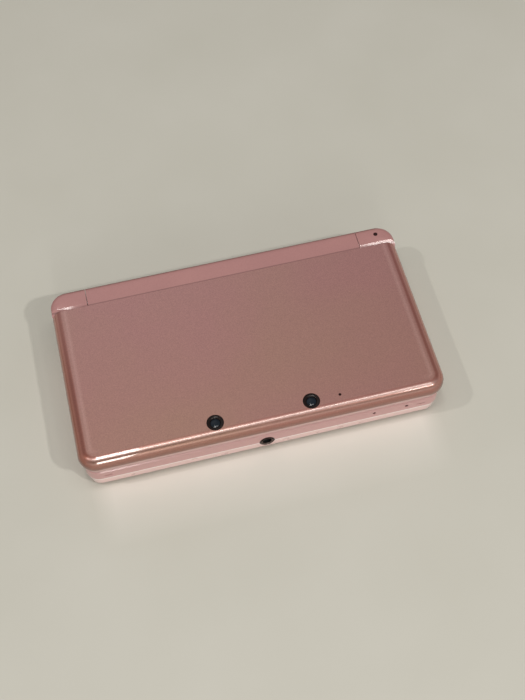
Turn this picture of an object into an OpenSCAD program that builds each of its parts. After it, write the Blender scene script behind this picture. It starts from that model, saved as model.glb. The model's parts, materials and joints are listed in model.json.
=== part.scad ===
// Clamshell handheld game console, closed, in millimetres.
// X runs along the hinge, +Y points at the hinge and +Z is up.
// The origin is the middle of the footprint, on the surface that the feet stand on.

/* [Case] */
// Width over the lid
body_w = 134; // [122:1:148]
// Depth from the front of the lid to the back of the hinge
body_d = 74; // [70:1:82]
// Radius of the four corners in plan
corner_r = 6.5; // [6:0.25:7.5]
// Height of the base between its underside and its key face
base_h = 10.6; // [10.6:0.1:12]
// Height of the lid between its screen face and its top
lid_h = 9.2; // [9.2:0.1:10.5]
// Gap between the closed halves
lid_gap = 0.8; // [0.7:0.05:1]
// How far the rubber feet stand out below the base
foot_h = 0.4; // [0.3:0.05:0.7]
// Height of the glossy cover on top of the lid
cover_h = 4.8; // [4.6:0.1:5.2]
// Height of the lower housing up to its seam
tub_h = 6.3; // [6.3:0.1:6.6]
// Thickness of the case plates
plate_t = 1.2; // [1:0.05:1.3]

/* [Rim] */
// How far the rounded rim of the lid runs in from its edge
rim_in = 4.2; // [3.6:0.1:4.6]
// Height of the upright edge below the rounded rim
rim_foot = 0.5; // [0.4:0.05:0.8]
// Squareness of the rim curve, where 2 is an ellipse
rim_power = 2.4; // [2:0.1:3]

/* [Hinge] */
// Radius of the hinge barrel
hinge_r = 4.4; // [4.2:0.05:4.6]
// Step from the lid's top down to the hinge strip
barrel_drop = 0.2; // [0.1:0.05:0.3]
// Width of each end knuckle, with the rim outside it
knuckle_w = 13.9; // [13:0.1:16]
// Running gap between the knuckles and the lid
hinge_gap = 0.4; // [0.35:0.05:0.5]
// Radius of the bores in the barrel's two ends
barrel_bore_r = 3.25; // [3:0.05:3.3]
// Radius of the clutch's shaft
shaft_r = 1.5; // [1.2:0.05:1.8]

/* [Screens] */
// Width of the rim round the upper screen's black panel
window_edge = 4.4; // [4:0.1:4.6]
// How far that panel's face lies below the lid's rim
window_sink = 0.6; // [0.5:0.05:0.7]
// Width of the fields beside the upper display
upper_side = 27.75; // [26:0.25:32]
// Distance from the lid's front edge to the upper display
upper_front = 10; // [9.8:0.1:14]
// Width of the control fields beside the lower display
control_side = 35.7; // [35.4:0.1:38]
// Distance from the case's front edge to the lower display
lower_front = 14.2; // [14:0.1:18]
// Distance from the case's back edge to the lower display
lower_back = 12.6; // [12.4:0.1:16]
// Thickness of the black panel
window_t = 0.8; // [0.6:0.05:0.9]
// Thickness of the touch panel
touch_t = 0.7; // [0.5:0.05:0.8]

/* [Cameras] */
// Distance between the two outer cameras
camera_pitch = 35; // [30:1:44]
// Distance from the lid's front edge to the cameras' centres
camera_edge = 6; // [6:0.1:7]
// Radius of a camera window
camera_r = 3.1; // [2.8:0.05:3.2]
// Distance from the middle of the lid to the camera light
camera_light_x = 28; // [27:0.5:34]

/* [Controls] */
// Distance from the case's side to the circle pad's centre and the button diamond's centre
pad_edge = 17; // [16.6:0.1:17.4]
// Distance from the case's middle back to the circle pad and the button diamond
pad_y = 8; // [7.5:0.25:9]
// Radius of the circle pad's cap
pad_r = 8.75; // [8:0.05:9]
// Travel of the circle pad each way
pad_travel = 2.2; // [1.5:0.1:2.3]
// Distance from the case's middle forward to the direction pad
cross_y = 15.5; // [15:0.25:16]
// Span of the direction pad's arms
cross_span = 20; // [18:0.5:20.5]
// Width of the direction pad's arms
cross_arm = 6.8; // [6:0.1:7.4]
// Radius of a face button
button_r = 3.6; // [3.2:0.05:3.8]
// Distance from the diamond's centre to each face button
button_ring = 7.5; // [7.2:0.05:7.8]
// Gap between a moving key and its hole
key_gap = 0.15; // [0.1:0.01:0.2]
// How far the keys stand above the key face
key_rise = 0.55; // [0.4:0.05:0.6]
// Width of a menu key
menu_w = 10; // [8:0.25:11]
// Depth of a menu key
menu_d = 4.4; // [3.6:0.1:4.8]
// Distance between the menu keys
menu_pitch = 13; // [12.5:0.25:15]
// Radius of the power button
power_r = 3; // [2.6:0.05:3.2]

/* [Sockets] */
// Radius of the headphone bore
jack_r = 1.8; // [1.76:0.01:1.85]
// Length of the headphone bore
jack_l = 14.5; // [14:0.25:16]
// Radius of the headphone socket's collar
collar_r = 2.85; // [2.5:0.05:3]
// Width of the game card opening
card_w = 34; // [33.5:0.1:34.4]
// Height of the game card bay
card_h = 4.2; // [4.1:0.02:4.28]
// Length of the game card bay
card_l = 29; // [24:0.5:29.5]
// Width of the memory card bay
memory_w = 24.6; // [24.2:0.1:25]
// Radius of the stored stylus
stylus_r = 2.1; // [1.8:0.05:2.2]
// Length of the stored stylus
stylus_l = 58; // [50:0.5:60]
// Clearance round the battery in its well
battery_gap = 0.2; // [0.15:0.05:0.4]

/* [Hidden] */
$fn = 48;

// Colours
pearl = "#c98d8c";
blush = "#dba5a6";
pale = "#e3b9b8";
ink = "#17181a";
steel = "#b9bcc0";
board_green = "#1d5c3c";
rubber_grey = "#a9898a";

// Levels and planes
half_w = body_w / 2;
half_d = body_d / 2;
under_z = foot_h;                       // underside of the base
seam_z = under_z + tub_h;               // seam between the lower housing and the key face
face_z = under_z + base_h;              // key face
lid_z = face_z + lid_gap;               // screen face of the closed lid
top_z = lid_z + lid_h;                  // top of the lid
cover_z = top_z - cover_h;              // seam between the glossy cover and the lid frame
rim_z = cover_z + rim_foot;             // where the rim starts to round over
rim_up = top_z - rim_z;
wall = 3;                               // case edge to the inside of the side walls
touch = 0.02;                           // hidden overlap of two bodies that become one solid
seam_gap = 0.1;                         // gap between a fixed piece and its seat
big = 200;                              // size of a cutting block

// Hinge
hinge_y = half_d - hinge_r;
hinge_z = top_z - barrel_drop - hinge_r;
knuckle_r = hinge_r + 1.33;             // the knuckles' reach from the axis
sweep_r = knuckle_r + hinge_gap;        // what the lid's back edge and the trough keep clear
lid_back_y = hinge_y - sqrt(pow(sweep_r, 2) - pow(top_z - hinge_z, 2));
knuckle_x = half_w - knuckle_w;         // inner face of the knuckles
barrel_x = knuckle_x - 0.2;             // end of the barrel
clutch_l = 16;
tube_l = 22;
tube_out = 8.5;                         // end of the tube's bore, in from the case edge
strip_in = 2.35;                        // how far the hinge strip's edge is rounded inward
strip_up = 1.3;                         // and how far upward
knuckle_bevel = [1.3, 35];              // run and angle of the knuckles' front bevel

// Side profile of each layer, as how far it lies in from the case edge
frame_top_in = 0.7;
frame_low_in = 1.4;
face_top_in = 1.5;
seam_in = 1.25;
tub_low_in = 2;
tub_flat_in = 3.4;
edge = 0.4;                             // chamfer along the halves' mating edges

// Rows and depths inside
face_under_z = face_z - plate_t;        // underside of the key face
touch_z = face_z - 0.5 - touch_t;       // underside of the touch panel
board_t = 0.8;
lower_lcd_t = 1.2;
board_z = touch_z - lower_lcd_t - board_t;
board_top = board_z + board_t;
sheet_t = 0.2;                          // rubber key sheets
sheet_z = board_top + sheet_t;
cover_t = 1.2;                          // battery cover
cover_in = 4.4;                         // how far it lies in from the case edge
rear_y = half_d - cover_in - 1;         // joint between the lower housing and its rear panel
floor_z = under_z + cover_t + 0.1;      // underside of the inner frame's floor
floor_top = floor_z + plate_t;
window_z = lid_z + window_sink;         // face of the black panel
ledge_z = window_z + window_t + seam_gap;   // what the black panel lies on
lid_plate_z = ledge_z + 0.6;            // inside of the lid's screen side
lid_roof_z = top_z - 1.4;               // inside of the glossy cover
lower_view_w = body_w - 2 * control_side;
lower_view_d = body_d - lower_front - lower_back;
lower_screen_y = (lower_front - lower_back) / 2;
window_back = hinge_y - sweep_r - 3.2;
window_w = body_w - 2 * window_edge;
window_d = window_back + half_d - window_edge;
window_y = (window_back - half_d + window_edge) / 2;
window_r = 3;
upper_view_w = body_w - 2 * upper_side;
upper_view_d = window_back - 2.8 + half_d - upper_front;
upper_screen_y = (window_back - 2.8 - half_d + upper_front) / 2;

// Positions of controls and fittings
pad_x = half_w - pad_edge;
dish_r = pad_r + pad_travel * sqrt(2) + 0.4;
cross_hub_r = cross_arm / 2 + 1.6;
menu_y = -half_d + 6.2;
power_at = [half_w - 13.5, -half_d + 8.7];
jack_z = under_z + 6.1;
jack_y = -half_d + 1.5;                 // mouth of the headphone socket
jack_back = jack_y + jack_l + 0.7;
camera_y = -half_d + camera_edge;
inner_camera_y = -half_d + 6.4;
stylus_at = [half_w - 31, min((floor_z + board_z) / 2, seam_z - stylus_r - 0.15)];
stylus_wall = 0.75;
circle_base = [18, 16];                 // plan of the circle pad's base
card_x = -pad_x + circle_base[0] / 2 + 3 + card_w / 2;
card_z = floor_z + 0.7;
card_y = half_d - wall;                 // mouth of the card bay, behind the back wall
card_end = card_x + card_w / 2 + 0.5;
charge_w = 13.6;                        // charging socket with its contacts
contact_x = 6.2;                        // contact's distance from the socket's centre
infrared_w = 7;
rear_gap = (stylus_at[0] - stylus_r - stylus_wall - card_end - charge_w - infrared_w) / 3;
charge_x = card_end + rear_gap + charge_w / 2;
infrared_x = charge_x + charge_w / 2 + rear_gap + infrared_w / 2;
well = 0.8;                             // wall round the battery
battery_x = [card_end + 2, stylus_at[0] - stylus_r - stylus_wall - 1.65];
battery_y = [jack_back + 1.2, half_d - 12];
battery_z = [under_z + cover_t + 0.1, board_z - 1];
memory_y = pad_y - circle_base[1] / 2 - 0.7 - memory_w / 2;
door_w = memory_w + 1.5;
door_pin = [-half_w + 2.4, under_z + 3.1];
door_pin_r = 0.35;
speaker_at = [half_w - 9.2, -15];
slider_at = [half_w - 9, -1];
slider_travel = 7;
shoulder_in = half_w - 24;              // inner end of a shoulder button
shoulder_y = hinge_y - 6.1;             // front end of a shoulder button
shoulder_z = [under_z + 3, seam_z + 1.2];
shoulder_t = 3;
shoulder_pin = [shoulder_in + 1.8, half_d - seam_in - shoulder_t / 2];
shoulder_turn = 5;                      // degrees
shoulder_sweep = (half_w - shoulder_pin[0]) * sin(shoulder_turn) + 0.3;
shoulder_pin_r = 0.8;
volume_y = 16.5;
volume_z = under_z + 4.4;
wireless_y = -14;
lid_screw_at = [half_w - 7.4, -half_d + 7.2, lid_back_y - 9.2];
lid_head_z = ledge_z + 0.1;             // underside of the lid screws' heads
base_screw_at = [[half_w - 5.6, -half_d + 4.9], [half_w - 25.7, half_d - 9]];
cover_screw_at = [half_w - 21.5, 18.6];
foot_at = [half_w - 13, half_d - 11.5];
foot_r = 3.5;
notify_at = [half_w - 6.5, half_d - 3.6];
status_x = [half_w - 26.8, half_w - 14.5];
status_z = face_under_z - 0.75;

// Points of a superellipse quarter, from the side up to the flat top
function rim_points(edge_in, base_z, in, up, steps = 8) = [
    for (i = [0 : steps])
        let (t = 90 * i / steps)
        [corner_r - edge_in - in * (1 - pow(cos(t), 2 / rim_power)), base_z + up * pow(sin(t), 2 / rim_power)]
];

// ---------------------------------------------------------------- shared shapes

// Solid with a rounded-rectangle plan. The children are its side profile, drawn
// with X = 0 at the corner's centre and X = r at the outline.
module swept_slab(w, d, r, z0, z1) {
    x = w / 2 - r;
    y = d / 2 - r;
    translate([-x - touch, -y - touch, z0]) cube([2 * x + 2 * touch, 2 * y + 2 * touch, z1 - z0]);
    for (c = [[1, 1, 0], [-1, 1, 90], [-1, -1, 180], [1, -1, 270]])
        translate([c[0] * x, c[1] * y, 0]) rotate([0, 0, c[2]]) rotate_extrude(angle = 90) children();
    for (s = [0, 180]) rotate([0, 0, s]) {
        translate([x, 0, 0]) rotate([90, 0, 0]) linear_extrude(2 * y, center = true) children();
        rotate([0, 0, 90]) translate([y, 0, 0]) rotate([90, 0, 0])
            linear_extrude(2 * x, center = true) children();
    }
}

// Upright rounded block
module block(w, d, r, z0, z1) {
    swept_slab(w, d, r, z0, z1) translate([0, z0]) square([r, z1 - z0]);
}

// The case outline between two heights, moved in by a distance
module case_block(inset, z0, z1) {
    block(body_w - 2 * inset, body_d - 2 * inset, corner_r - inset, z0, z1);
}

// Box from its lowest corner to its highest corner
module span(a, b) {
    translate(a) cube([b[0] - a[0], b[1] - a[1], b[2] - a[2]]);
}

// Draws its children on the right, or mirrored on the left
module side(sx) {
    mirror([sx > 0 ? 0 : 1, 0, 0]) children();
}

// Upright cylinder from z0 to z1
module post(at, r, z0, z1) {
    translate([at[0], at[1], z0]) cylinder(r = r, h = z1 - z0);
}

// Cylinder along X from x0 to x1, on the hinge axis
module on_axis(r, x0, x1) {
    translate([x0, hinge_y, hinge_z]) rotate([0, 90, 0]) cylinder(r = r, h = x1 - x0);
}

// Cylinder along Y from y0 to y1
module along_y(x, z, r, y0, y1) {
    translate([x, y1, z]) rotate([90, 0, 0]) cylinder(r = r, h = y1 - y0);
}

// ---------------------------------------------------------------- lid

module lid_rim_slab() {
    swept_slab(body_w, body_d, corner_r, cover_z, top_z)
        polygon(concat([[0, cover_z], [corner_r - 0.3, cover_z], [corner_r, cover_z + 0.3]],
                       rim_points(0, rim_z, rim_in, rim_up), [[0, top_z]]));
}

module behind_lid() {
    span([-big, lid_back_y, lid_z - 1], [big, big, top_z + 1]);
    on_axis(sweep_r, -big, big);
}

module lid_cover() {
    in = wall + 0.2;
    color(pearl) difference() {
        union() {
            difference() {
                lid_rim_slab();
                behind_lid();
                intersection() {
                    case_block(in, cover_z - 1, lid_roof_z);
                    span([-big, -big, cover_z - 1], [big, lid_back_y - 4.6, lid_roof_z]);
                }
            }
            for (sx = [-1, 1], y = [lid_screw_at[1], lid_screw_at[2]])
                post([sx * lid_screw_at[0], y], 2, cover_z, lid_roof_z + touch);
        }
        for (sx = [-1, 1]) {
            post([sx * camera_pitch / 2, camera_y], camera_r, top_z - 1, top_z + 1);
            post([sx * camera_pitch / 2, camera_y], camera_r - 0.6, cover_z - 1, top_z);
            for (y = [lid_screw_at[1], lid_screw_at[2]])
                post([sx * lid_screw_at[0], y], 0.82, cover_z - 1, lid_roof_z - 0.6);
        }
        post([camera_light_x, camera_y], 0.55, lid_roof_z - 1, top_z + 1);
    }
}

module frame_slab() {
    swept_slab(body_w, body_d, corner_r, lid_z, cover_z)
        polygon([[0, lid_z], [corner_r - frame_low_in - edge, lid_z],
                 [corner_r - frame_low_in, lid_z + edge],
                 [corner_r - frame_top_in, cover_z], [0, cover_z]]);
}

// The hinge strip's slab: a step below the lid's top, and with a tighter edge
module hinge_slab(low_z, low_in) {
    strip_z = top_z - barrel_drop;
    swept_slab(body_w, body_d, corner_r, low_z, strip_z)
        polygon(concat([[0, low_z], [corner_r - low_in, low_z]],
                       rim_points(0.15, strip_z - strip_up, strip_in, strip_up), [[0, strip_z]]));
}

module barrel() {
    on_axis(hinge_r, -barrel_x, barrel_x);
    intersection() {
        on_axis(sweep_r - seam_gap, -barrel_x, barrel_x);
        span([-barrel_x, hinge_y - sweep_r, cover_z - touch], [barrel_x, hinge_y + touch, top_z - barrel_drop]);
    }
    intersection() {
        hinge_slab(hinge_z, 0.15);
        span([-barrel_x, hinge_y, hinge_z], [barrel_x, half_d, top_z]);
    }
    span([-barrel_x, hinge_y - sweep_r - 1.5, lid_z], [barrel_x, hinge_y, cover_z]);
}

// Two rows of small round sound holes
module sound_holes(at) {
    for (i = [0, 1], j = [-2 : 2])
        post([at[0] + (i - 0.5) * 2.4, at[1] + j * 2.4], 0.55, lid_z - 1, lid_plate_z + 1);
}

module slider_slot() {
    span([slider_at[0] - 1.6, slider_at[1] - 3, lid_z - 1],
         [slider_at[0] + 1.6, slider_at[1] + slider_travel + 3, lid_plate_z + 1]);
}

module lid_frame() {
    screw_y = [lid_screw_at[1], lid_screw_at[2]];
    color(blush) difference() {
        union() {
            difference() {
                frame_slab();
                behind_lid();
                intersection() {
                    case_block(wall, lid_plate_z, cover_z + 1);
                    span([-big, -big, lid_plate_z], [big, hinge_y - sweep_r - 1.4, cover_z + 1]);
                }
            }
            barrel();
            for (sx = [-1, 1], y = screw_y) post([sx * lid_screw_at[0], y], 3, lid_plate_z - touch, cover_z);
            for (sx = [-1, 1])
                span([sx * 20 - 1, camera_y - 2, lid_plate_z - touch], [sx * 20 + 1, camera_y + 2, cover_z]);
        }
        translate([0, window_y, 0])
            block(window_w + 2 * seam_gap, window_d + 2 * seam_gap, window_r + seam_gap, lid_z - 1, ledge_z);
        translate([0, upper_screen_y, 0]) block(upper_view_w, upper_view_d, 1, lid_z, lid_plate_z + 1);
        post([0, inner_camera_y], 1.6, lid_z, lid_plate_z + 1);
        for (sx = [-1, 1]) {
            sound_holes([sx * speaker_at[0], speaker_at[1]]);
            for (y = screw_y) {
                post([sx * lid_screw_at[0], y], 2.2, lid_z, lid_head_z + 0.8);
                post([sx * lid_screw_at[0], y], 0.9, lid_z, cover_z + 1);
            }
        }
        slider_slot();
        on_axis(barrel_bore_r, -barrel_x - 1, -barrel_x + clutch_l + 0.4);
        on_axis(barrel_bore_r, barrel_x - tube_l + 7, barrel_x + 1);
        span([barrel_x - 10, hinge_y - sweep_r - 2, hinge_z - 1], [barrel_x - 4, hinge_y, hinge_z + 0.2]);
    }
}

module upper_window() {
    color(ink) difference() {
        translate([0, window_y, 0]) block(window_w, window_d, window_r, window_z, window_z + window_t);
        for (sx = [-1, 1]) {
            sound_holes([sx * speaker_at[0], speaker_at[1]]);
            for (y = [lid_screw_at[1], lid_screw_at[2]]) post([sx * lid_screw_at[0], y], 2.25, lid_z, lid_plate_z);
        }
        slider_slot();
    }
}

module upper_lcd() {
    color("#2b2e33") translate([0, upper_screen_y, 0])
        block(upper_view_w + 4, upper_view_d + 3.4, 0.8, lid_plate_z, lid_plate_z + 1.9);
}

module camera_windows() {
    color(ink) for (sx = [-1, 1])
        post([sx * camera_pitch / 2, camera_y], camera_r - 0.03, top_z - 1, top_z - 0.05);
}

module camera_barrels() {
    color("#2c2f36") for (sx = [-1, 1]) translate([sx * camera_pitch / 2, camera_y, 0]) difference() {
        post([0, 0], camera_r - 0.65, cover_z + 1, top_z - 1.05);
        post([0, 0], 1.3, top_z - 2.2, top_z);
    }
}

module camera_bracket() {
    color(steel) difference() {
        span([-camera_pitch / 2 - 5.5, camera_y - 2, cover_z],
             [camera_pitch / 2 + 5.5, camera_y + 2.6, cover_z + 1]);
        post([0, camera_y], 1.4, cover_z - 1, cover_z + 2);
    }
}

module camera_light() {
    color("#3c0d10") {
        post([camera_light_x, camera_y], 0.5, lid_roof_z - 0.6, top_z - 0.05);
        post([camera_light_x, camera_y], 1.4, lid_roof_z - 1.2, lid_roof_z);
    }
}

module inner_camera() {
    color(ink) {
        span([-3.4, inner_camera_y - 2, lid_plate_z], [3.4, inner_camera_y + 1.7, cover_z - 0.2]);
        post([0, inner_camera_y], 1.5, ledge_z + 0.05, lid_plate_z + touch);
    }
}

module speakers() {
    color("#3a3b3e") for (sx = [-1, 1]) translate([sx * speaker_at[0], speaker_at[1], 0])
        block(9.2, 14, 2, lid_plate_z, lid_plate_z + 2.6);
}

module depth_slider() {
    color(pale) translate([slider_at[0], slider_at[1], 0]) {
        span([-1.4, -2.6, window_z - 0.4], [1.4, 2.6, lid_plate_z + 0.2]);
        span([-2.6, -4, lid_plate_z + 0.1], [2.6, 4, lid_plate_z + 1]);
    }
}

module lid_bumpers() {
    color(rubber_grey) for (sx = [-1, 1], y = [lid_screw_at[1], lid_screw_at[2]])
        post([sx * lid_screw_at[0], y], 2.15, face_z + 0.05, lid_head_z - 0.05);
}

module lid_screws() {
    color(steel) for (sx = [-1, 1], y = [lid_screw_at[1], lid_screw_at[2]]) translate([sx * lid_screw_at[0], y, 0]) {
        difference() {
            post([0, 0], 1.6, lid_head_z, lid_head_z + 0.8);
            for (a = [0, 90]) rotate([0, 0, a]) span([-0.9, -0.18, lid_z], [0.9, 0.18, lid_head_z + 0.4]);
        }
        post([0, 0], 0.8, lid_head_z + 0.8 - touch, lid_roof_z - 0.7);
    }
}

module hinge_clutch() {
    color(steel) difference() {
        on_axis(barrel_bore_r, -barrel_x, -barrel_x + clutch_l);
        on_axis(shaft_r + 0.05, -barrel_x - 1, -barrel_x + clutch_l - 2);
    }
}

module display_ribbon() {
    x = barrel_x - 7;
    bend_y = hinge_y - sweep_r - 1.7;
    film = 0.15;
    color("#b5702c") {
        span([upper_view_w / 2 + 2, 8, lid_plate_z], [x, 14, lid_plate_z + film]);
        span([x - 2.5, 8, lid_plate_z], [x + 2.5, bend_y, lid_plate_z + film]);
        span([x - 2.5, bend_y - film, lid_plate_z], [x + 2.5, bend_y, hinge_z - 0.4]);
        span([x - 2.5, bend_y - film, hinge_z - 0.4 - film], [x + 2.5, hinge_y - barrel_bore_r - 0.4, hinge_z - 0.4]);
    }
}

// ---------------------------------------------------------------- base shells

module face_slab() {
    swept_slab(body_w, body_d, corner_r, seam_z, face_z)
        polygon([[0, seam_z], [corner_r - seam_in, seam_z], [corner_r - face_top_in, face_z - edge],
                 [corner_r - face_top_in - edge, face_z], [0, face_z]]);
}

module tub_slab() {
    swept_slab(body_w, body_d, corner_r, under_z, seam_z)
        polygon([[0, under_z], [corner_r - tub_flat_in, under_z],
                 [corner_r - tub_low_in - 0.75, under_z + 0.2], [corner_r - tub_low_in - 0.25, under_z + 0.75],
                 [corner_r - tub_low_in, under_z + 1.6],
                 [corner_r - seam_in - 0.12, seam_z - 0.9], [corner_r - seam_in, seam_z], [0, seam_z]]);
}

// One knuckle, on the side of sx: the hinge slab, rounded round the axis and bevelled at its front
module knuckle(sx) {
    color(blush) intersection() {
        hinge_slab(face_under_z, face_top_in + 0.2);
        difference() {
            union() {
                on_axis(knuckle_r, sx > 0 ? knuckle_x : -half_w, sx > 0 ? half_w : -knuckle_x);
                span([sx > 0 ? knuckle_x : -half_w, hinge_y - 3.6, face_under_z],
                     [sx > 0 ? half_w : -knuckle_x, half_d, hinge_z]);
                span([sx > 0 ? knuckle_x : -half_w, hinge_y, hinge_z - touch],
                     [sx > 0 ? half_w : -knuckle_x, half_d, top_z]);
            }
            translate([-big / 2, lid_back_y + knuckle_bevel[0], top_z - barrel_drop])
                rotate([knuckle_bevel[1], 0, 0]) span([0, -big, 0], [big, 0, big]);
        }
    }
}

// Way down from the hinge tube into the base for the display's ribbon
module ribbon_way() {
    span([knuckle_x + 1, hinge_y - 1.8, seam_z], [knuckle_x + 4.6, hinge_y + 1.2, hinge_z]);
}

module jack_hole() {
    along_y(0, jack_z, collar_r + 0.05, -half_d - 1, -half_d + wall + 1);
}

// Openings in the back wall, with the card bay's mouth cut up to card_top
module rear_mouths(card_top) {
    y0 = half_d - wall - touch;
    y1 = half_d + 1;
    span([card_x - card_w / 2, y0, card_z], [card_x + card_w / 2, y1, card_top]);
    span([charge_x - 4.6, y0, under_z + 2.6], [charge_x + 4.6, y1, under_z + 5.8]);
    for (sx = [-1, 1])
        span([charge_x + sx * contact_x - 0.6, y0, under_z + 3.4], [charge_x + sx * contact_x + 0.6, y1, under_z + 5]);
    span([infrared_x - infrared_w / 2, y0, under_z + 2.5], [infrared_x + infrared_w / 2, y1, under_z + 5.6]);
}

module menu_hole(x) {
    translate([x, menu_y, 0]) block(menu_w + 2 * key_gap, menu_d + 2 * key_gap, 1.2, seam_z, face_z + 1);
}

module cross_plan(gap) {
    arm = cross_arm / 2 + gap;
    reach = cross_span / 2 + gap;
    square([2 * reach, 2 * arm], center = true);
    square([2 * arm, 2 * reach], center = true);
}

// Places its children at the four face buttons
module at_face_buttons() {
    for (a = [0 : 90 : 270])
        translate([pad_x + button_ring * cos(a), pad_y + button_ring * sin(a), 0]) children();
}

// Room for a shoulder button and its travel
module shoulder_room(sx) {
    z0 = shoulder_z[0] - 0.2;
    z1 = shoulder_z[1] + 0.2;
    intersection() {
        side(sx) span([shoulder_in - 0.3, shoulder_y - shoulder_sweep, z0], [half_w + 1, half_d + 1, z1]);
        difference() {
            span([-big, -big, z0 - 1], [big, big, z1 + 1]);
            side(sx) span([shoulder_in - 2, -half_d, z0 - 2],
                [half_w - seam_in - shoulder_t - 1.2, half_d - seam_in - shoulder_t - shoulder_sweep, z1 + 2]);
        }
    }
}

module base_face() {
    color(blush) difference() {
        union() {
            difference() {
                face_slab();
                case_block(wall, seam_z - 1, face_under_z);
            }
            intersection() {
                on_axis(sweep_r + plate_t, -knuckle_x - plate_t, knuckle_x + plate_t);
                case_block(wall - 1, seam_z, face_z - 0.1);
            }
            for (sx = [-1, 1]) knuckle(sx);
            post([-pad_x, pad_y], dish_r + 1.1, face_z - 2.4, face_z - 0.1);
            for (sx = [-1, 1], at = base_screw_at) post([sx * at[0], at[1]], 1.9, seam_z, face_under_z + touch);
            for (sx = [-1, 1])
                span([sx * shoulder_pin[0] - 1.4, shoulder_pin[1] - 1.4, shoulder_z[1]],
                     [sx * shoulder_pin[0] + 1.4, shoulder_pin[1] + 1.4, shoulder_z[1] + 1.2]);
        }
        on_axis(sweep_r, -knuckle_x, knuckle_x);
        translate([0, lower_screen_y, 0]) {
            block(lower_view_w, lower_view_d, 1, seam_z, face_z + 1);
            block(lower_view_w + 4.2, lower_view_d + 3.4, 1, seam_z - 1, touch_z + touch_t);
        }
        post([-pad_x, pad_y], dish_r, face_z - 1.4, face_z + 1);
        post([-pad_x, pad_y], 1.9 + pad_travel * sqrt(2) + 0.2, seam_z, face_z);
        translate([-pad_x, -cross_y, seam_z]) linear_extrude(big) cross_plan(0.4);
        post([-pad_x, -cross_y], cross_hub_r + 0.6, seam_z, face_under_z + 0.5);
        at_face_buttons() post([0, 0], button_r + key_gap, seam_z, face_z + 1);
        for (i = [-1 : 1]) menu_hole(i * menu_pitch);
        post(power_at, power_r + key_gap, seam_z, face_z + 1);
        post([-menu_pitch * 2, menu_y], 0.45, seam_z, face_z + 1);
        jack_hole();
        rear_mouths(card_z + card_h);
        for (x = status_x) along_y(x, status_z, 0.67, -half_d - 1, -half_d + wall + 1);
        for (sx = [-1, 1]) {
            span([sx * (half_w - 9.1) - 1.5, -half_d, status_z - 0.75],
                 [sx * (half_w - 9.1) + 1.5, -half_d + seam_in + 0.7, status_z - 0.3]);
            shoulder_room(sx);
            for (at = base_screw_at) post([sx * at[0], at[1]], 0.82, seam_z - 1, face_under_z - 0.4);
            post([sx * shoulder_pin[0], shoulder_pin[1]], shoulder_pin_r, seam_z, shoulder_z[1] + 0.9);
        }
        on_axis(shaft_r + 0.02, -half_w + 4, -knuckle_x + 1);
        on_axis(barrel_bore_r - 0.03, knuckle_x - 1, half_w - tube_out);
        ribbon_way();
        post(notify_at, 0.82, top_z - barrel_drop - 1.8, top_z);
    }
}

module tub_boss(at, r, z1) {
    post(at, r, floor_z, z1);
}

// The battery's room, grown sideways by a margin
module battery_room(margin, z0, z1) {
    grow = battery_gap + margin;
    span([battery_x[0] - grow, battery_y[0] - grow, z0], [battery_x[1] + grow, battery_y[1] + grow, z1]);
}

module stylus_bore() {
    along_y(stylus_at[0], stylus_at[1], stylus_r + 0.12, half_d - stylus_l - 1.6, half_d + 1);
}

// Bores that run through both the lower housing and the inner frame
module tub_bores() {
    stylus_bore();
    along_y(door_pin[0], door_pin[1], door_pin_r + 0.05, memory_y - door_w / 2 - 1.2, memory_y + door_w / 2 + 1.2);
    for (sx = [-1, 1]) {
        shoulder_room(sx);
        post([sx * shoulder_pin[0], shoulder_pin[1]], shoulder_pin_r, shoulder_z[0] - 0.6, seam_z + 1);
    }
}

// Band round the base, with a lip that carries the inner frame
module tub_band() {
    difference() {
        tub_slab();
        case_block(wall, floor_z, seam_z + 1);
        case_block(cover_in - seam_gap, under_z - 1, floor_z + touch);
        tub_bores();
    }
}

// Front and sides of the band
module base_tub() {
    color(pale) difference() {
        tub_band();
        span([-half_w - 1, rear_y, under_z - 1], [half_w + 1, half_d + 1, seam_z + 1]);
        jack_hole();
        span([-half_w - 1, memory_y - door_w / 2 - key_gap, under_z + 2.3],
             [-half_w + wall + 1, memory_y + door_w / 2 + key_gap, seam_z - 0.5]);
        span([-half_w - 1, volume_y - 6.6, volume_z - 0.9], [-half_w + wall + 1, volume_y + 6.6, volume_z + 0.9]);
        span([half_w - wall - 1, wireless_y - 3.6, volume_z - 0.9], [half_w + 1, wireless_y + 5.6, volume_z + 0.9]);
    }
}

// Back of the band, with the mouths of the sockets
module rear_panel() {
    color(pale) difference() {
        intersection() {
            tub_band();
            span([-half_w - 1, rear_y, under_z - 1], [half_w + 1, half_d + 1, seam_z + 1]);
        }
        rear_mouths(max(card_z + card_h, seam_z) + touch);
    }
}

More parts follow.
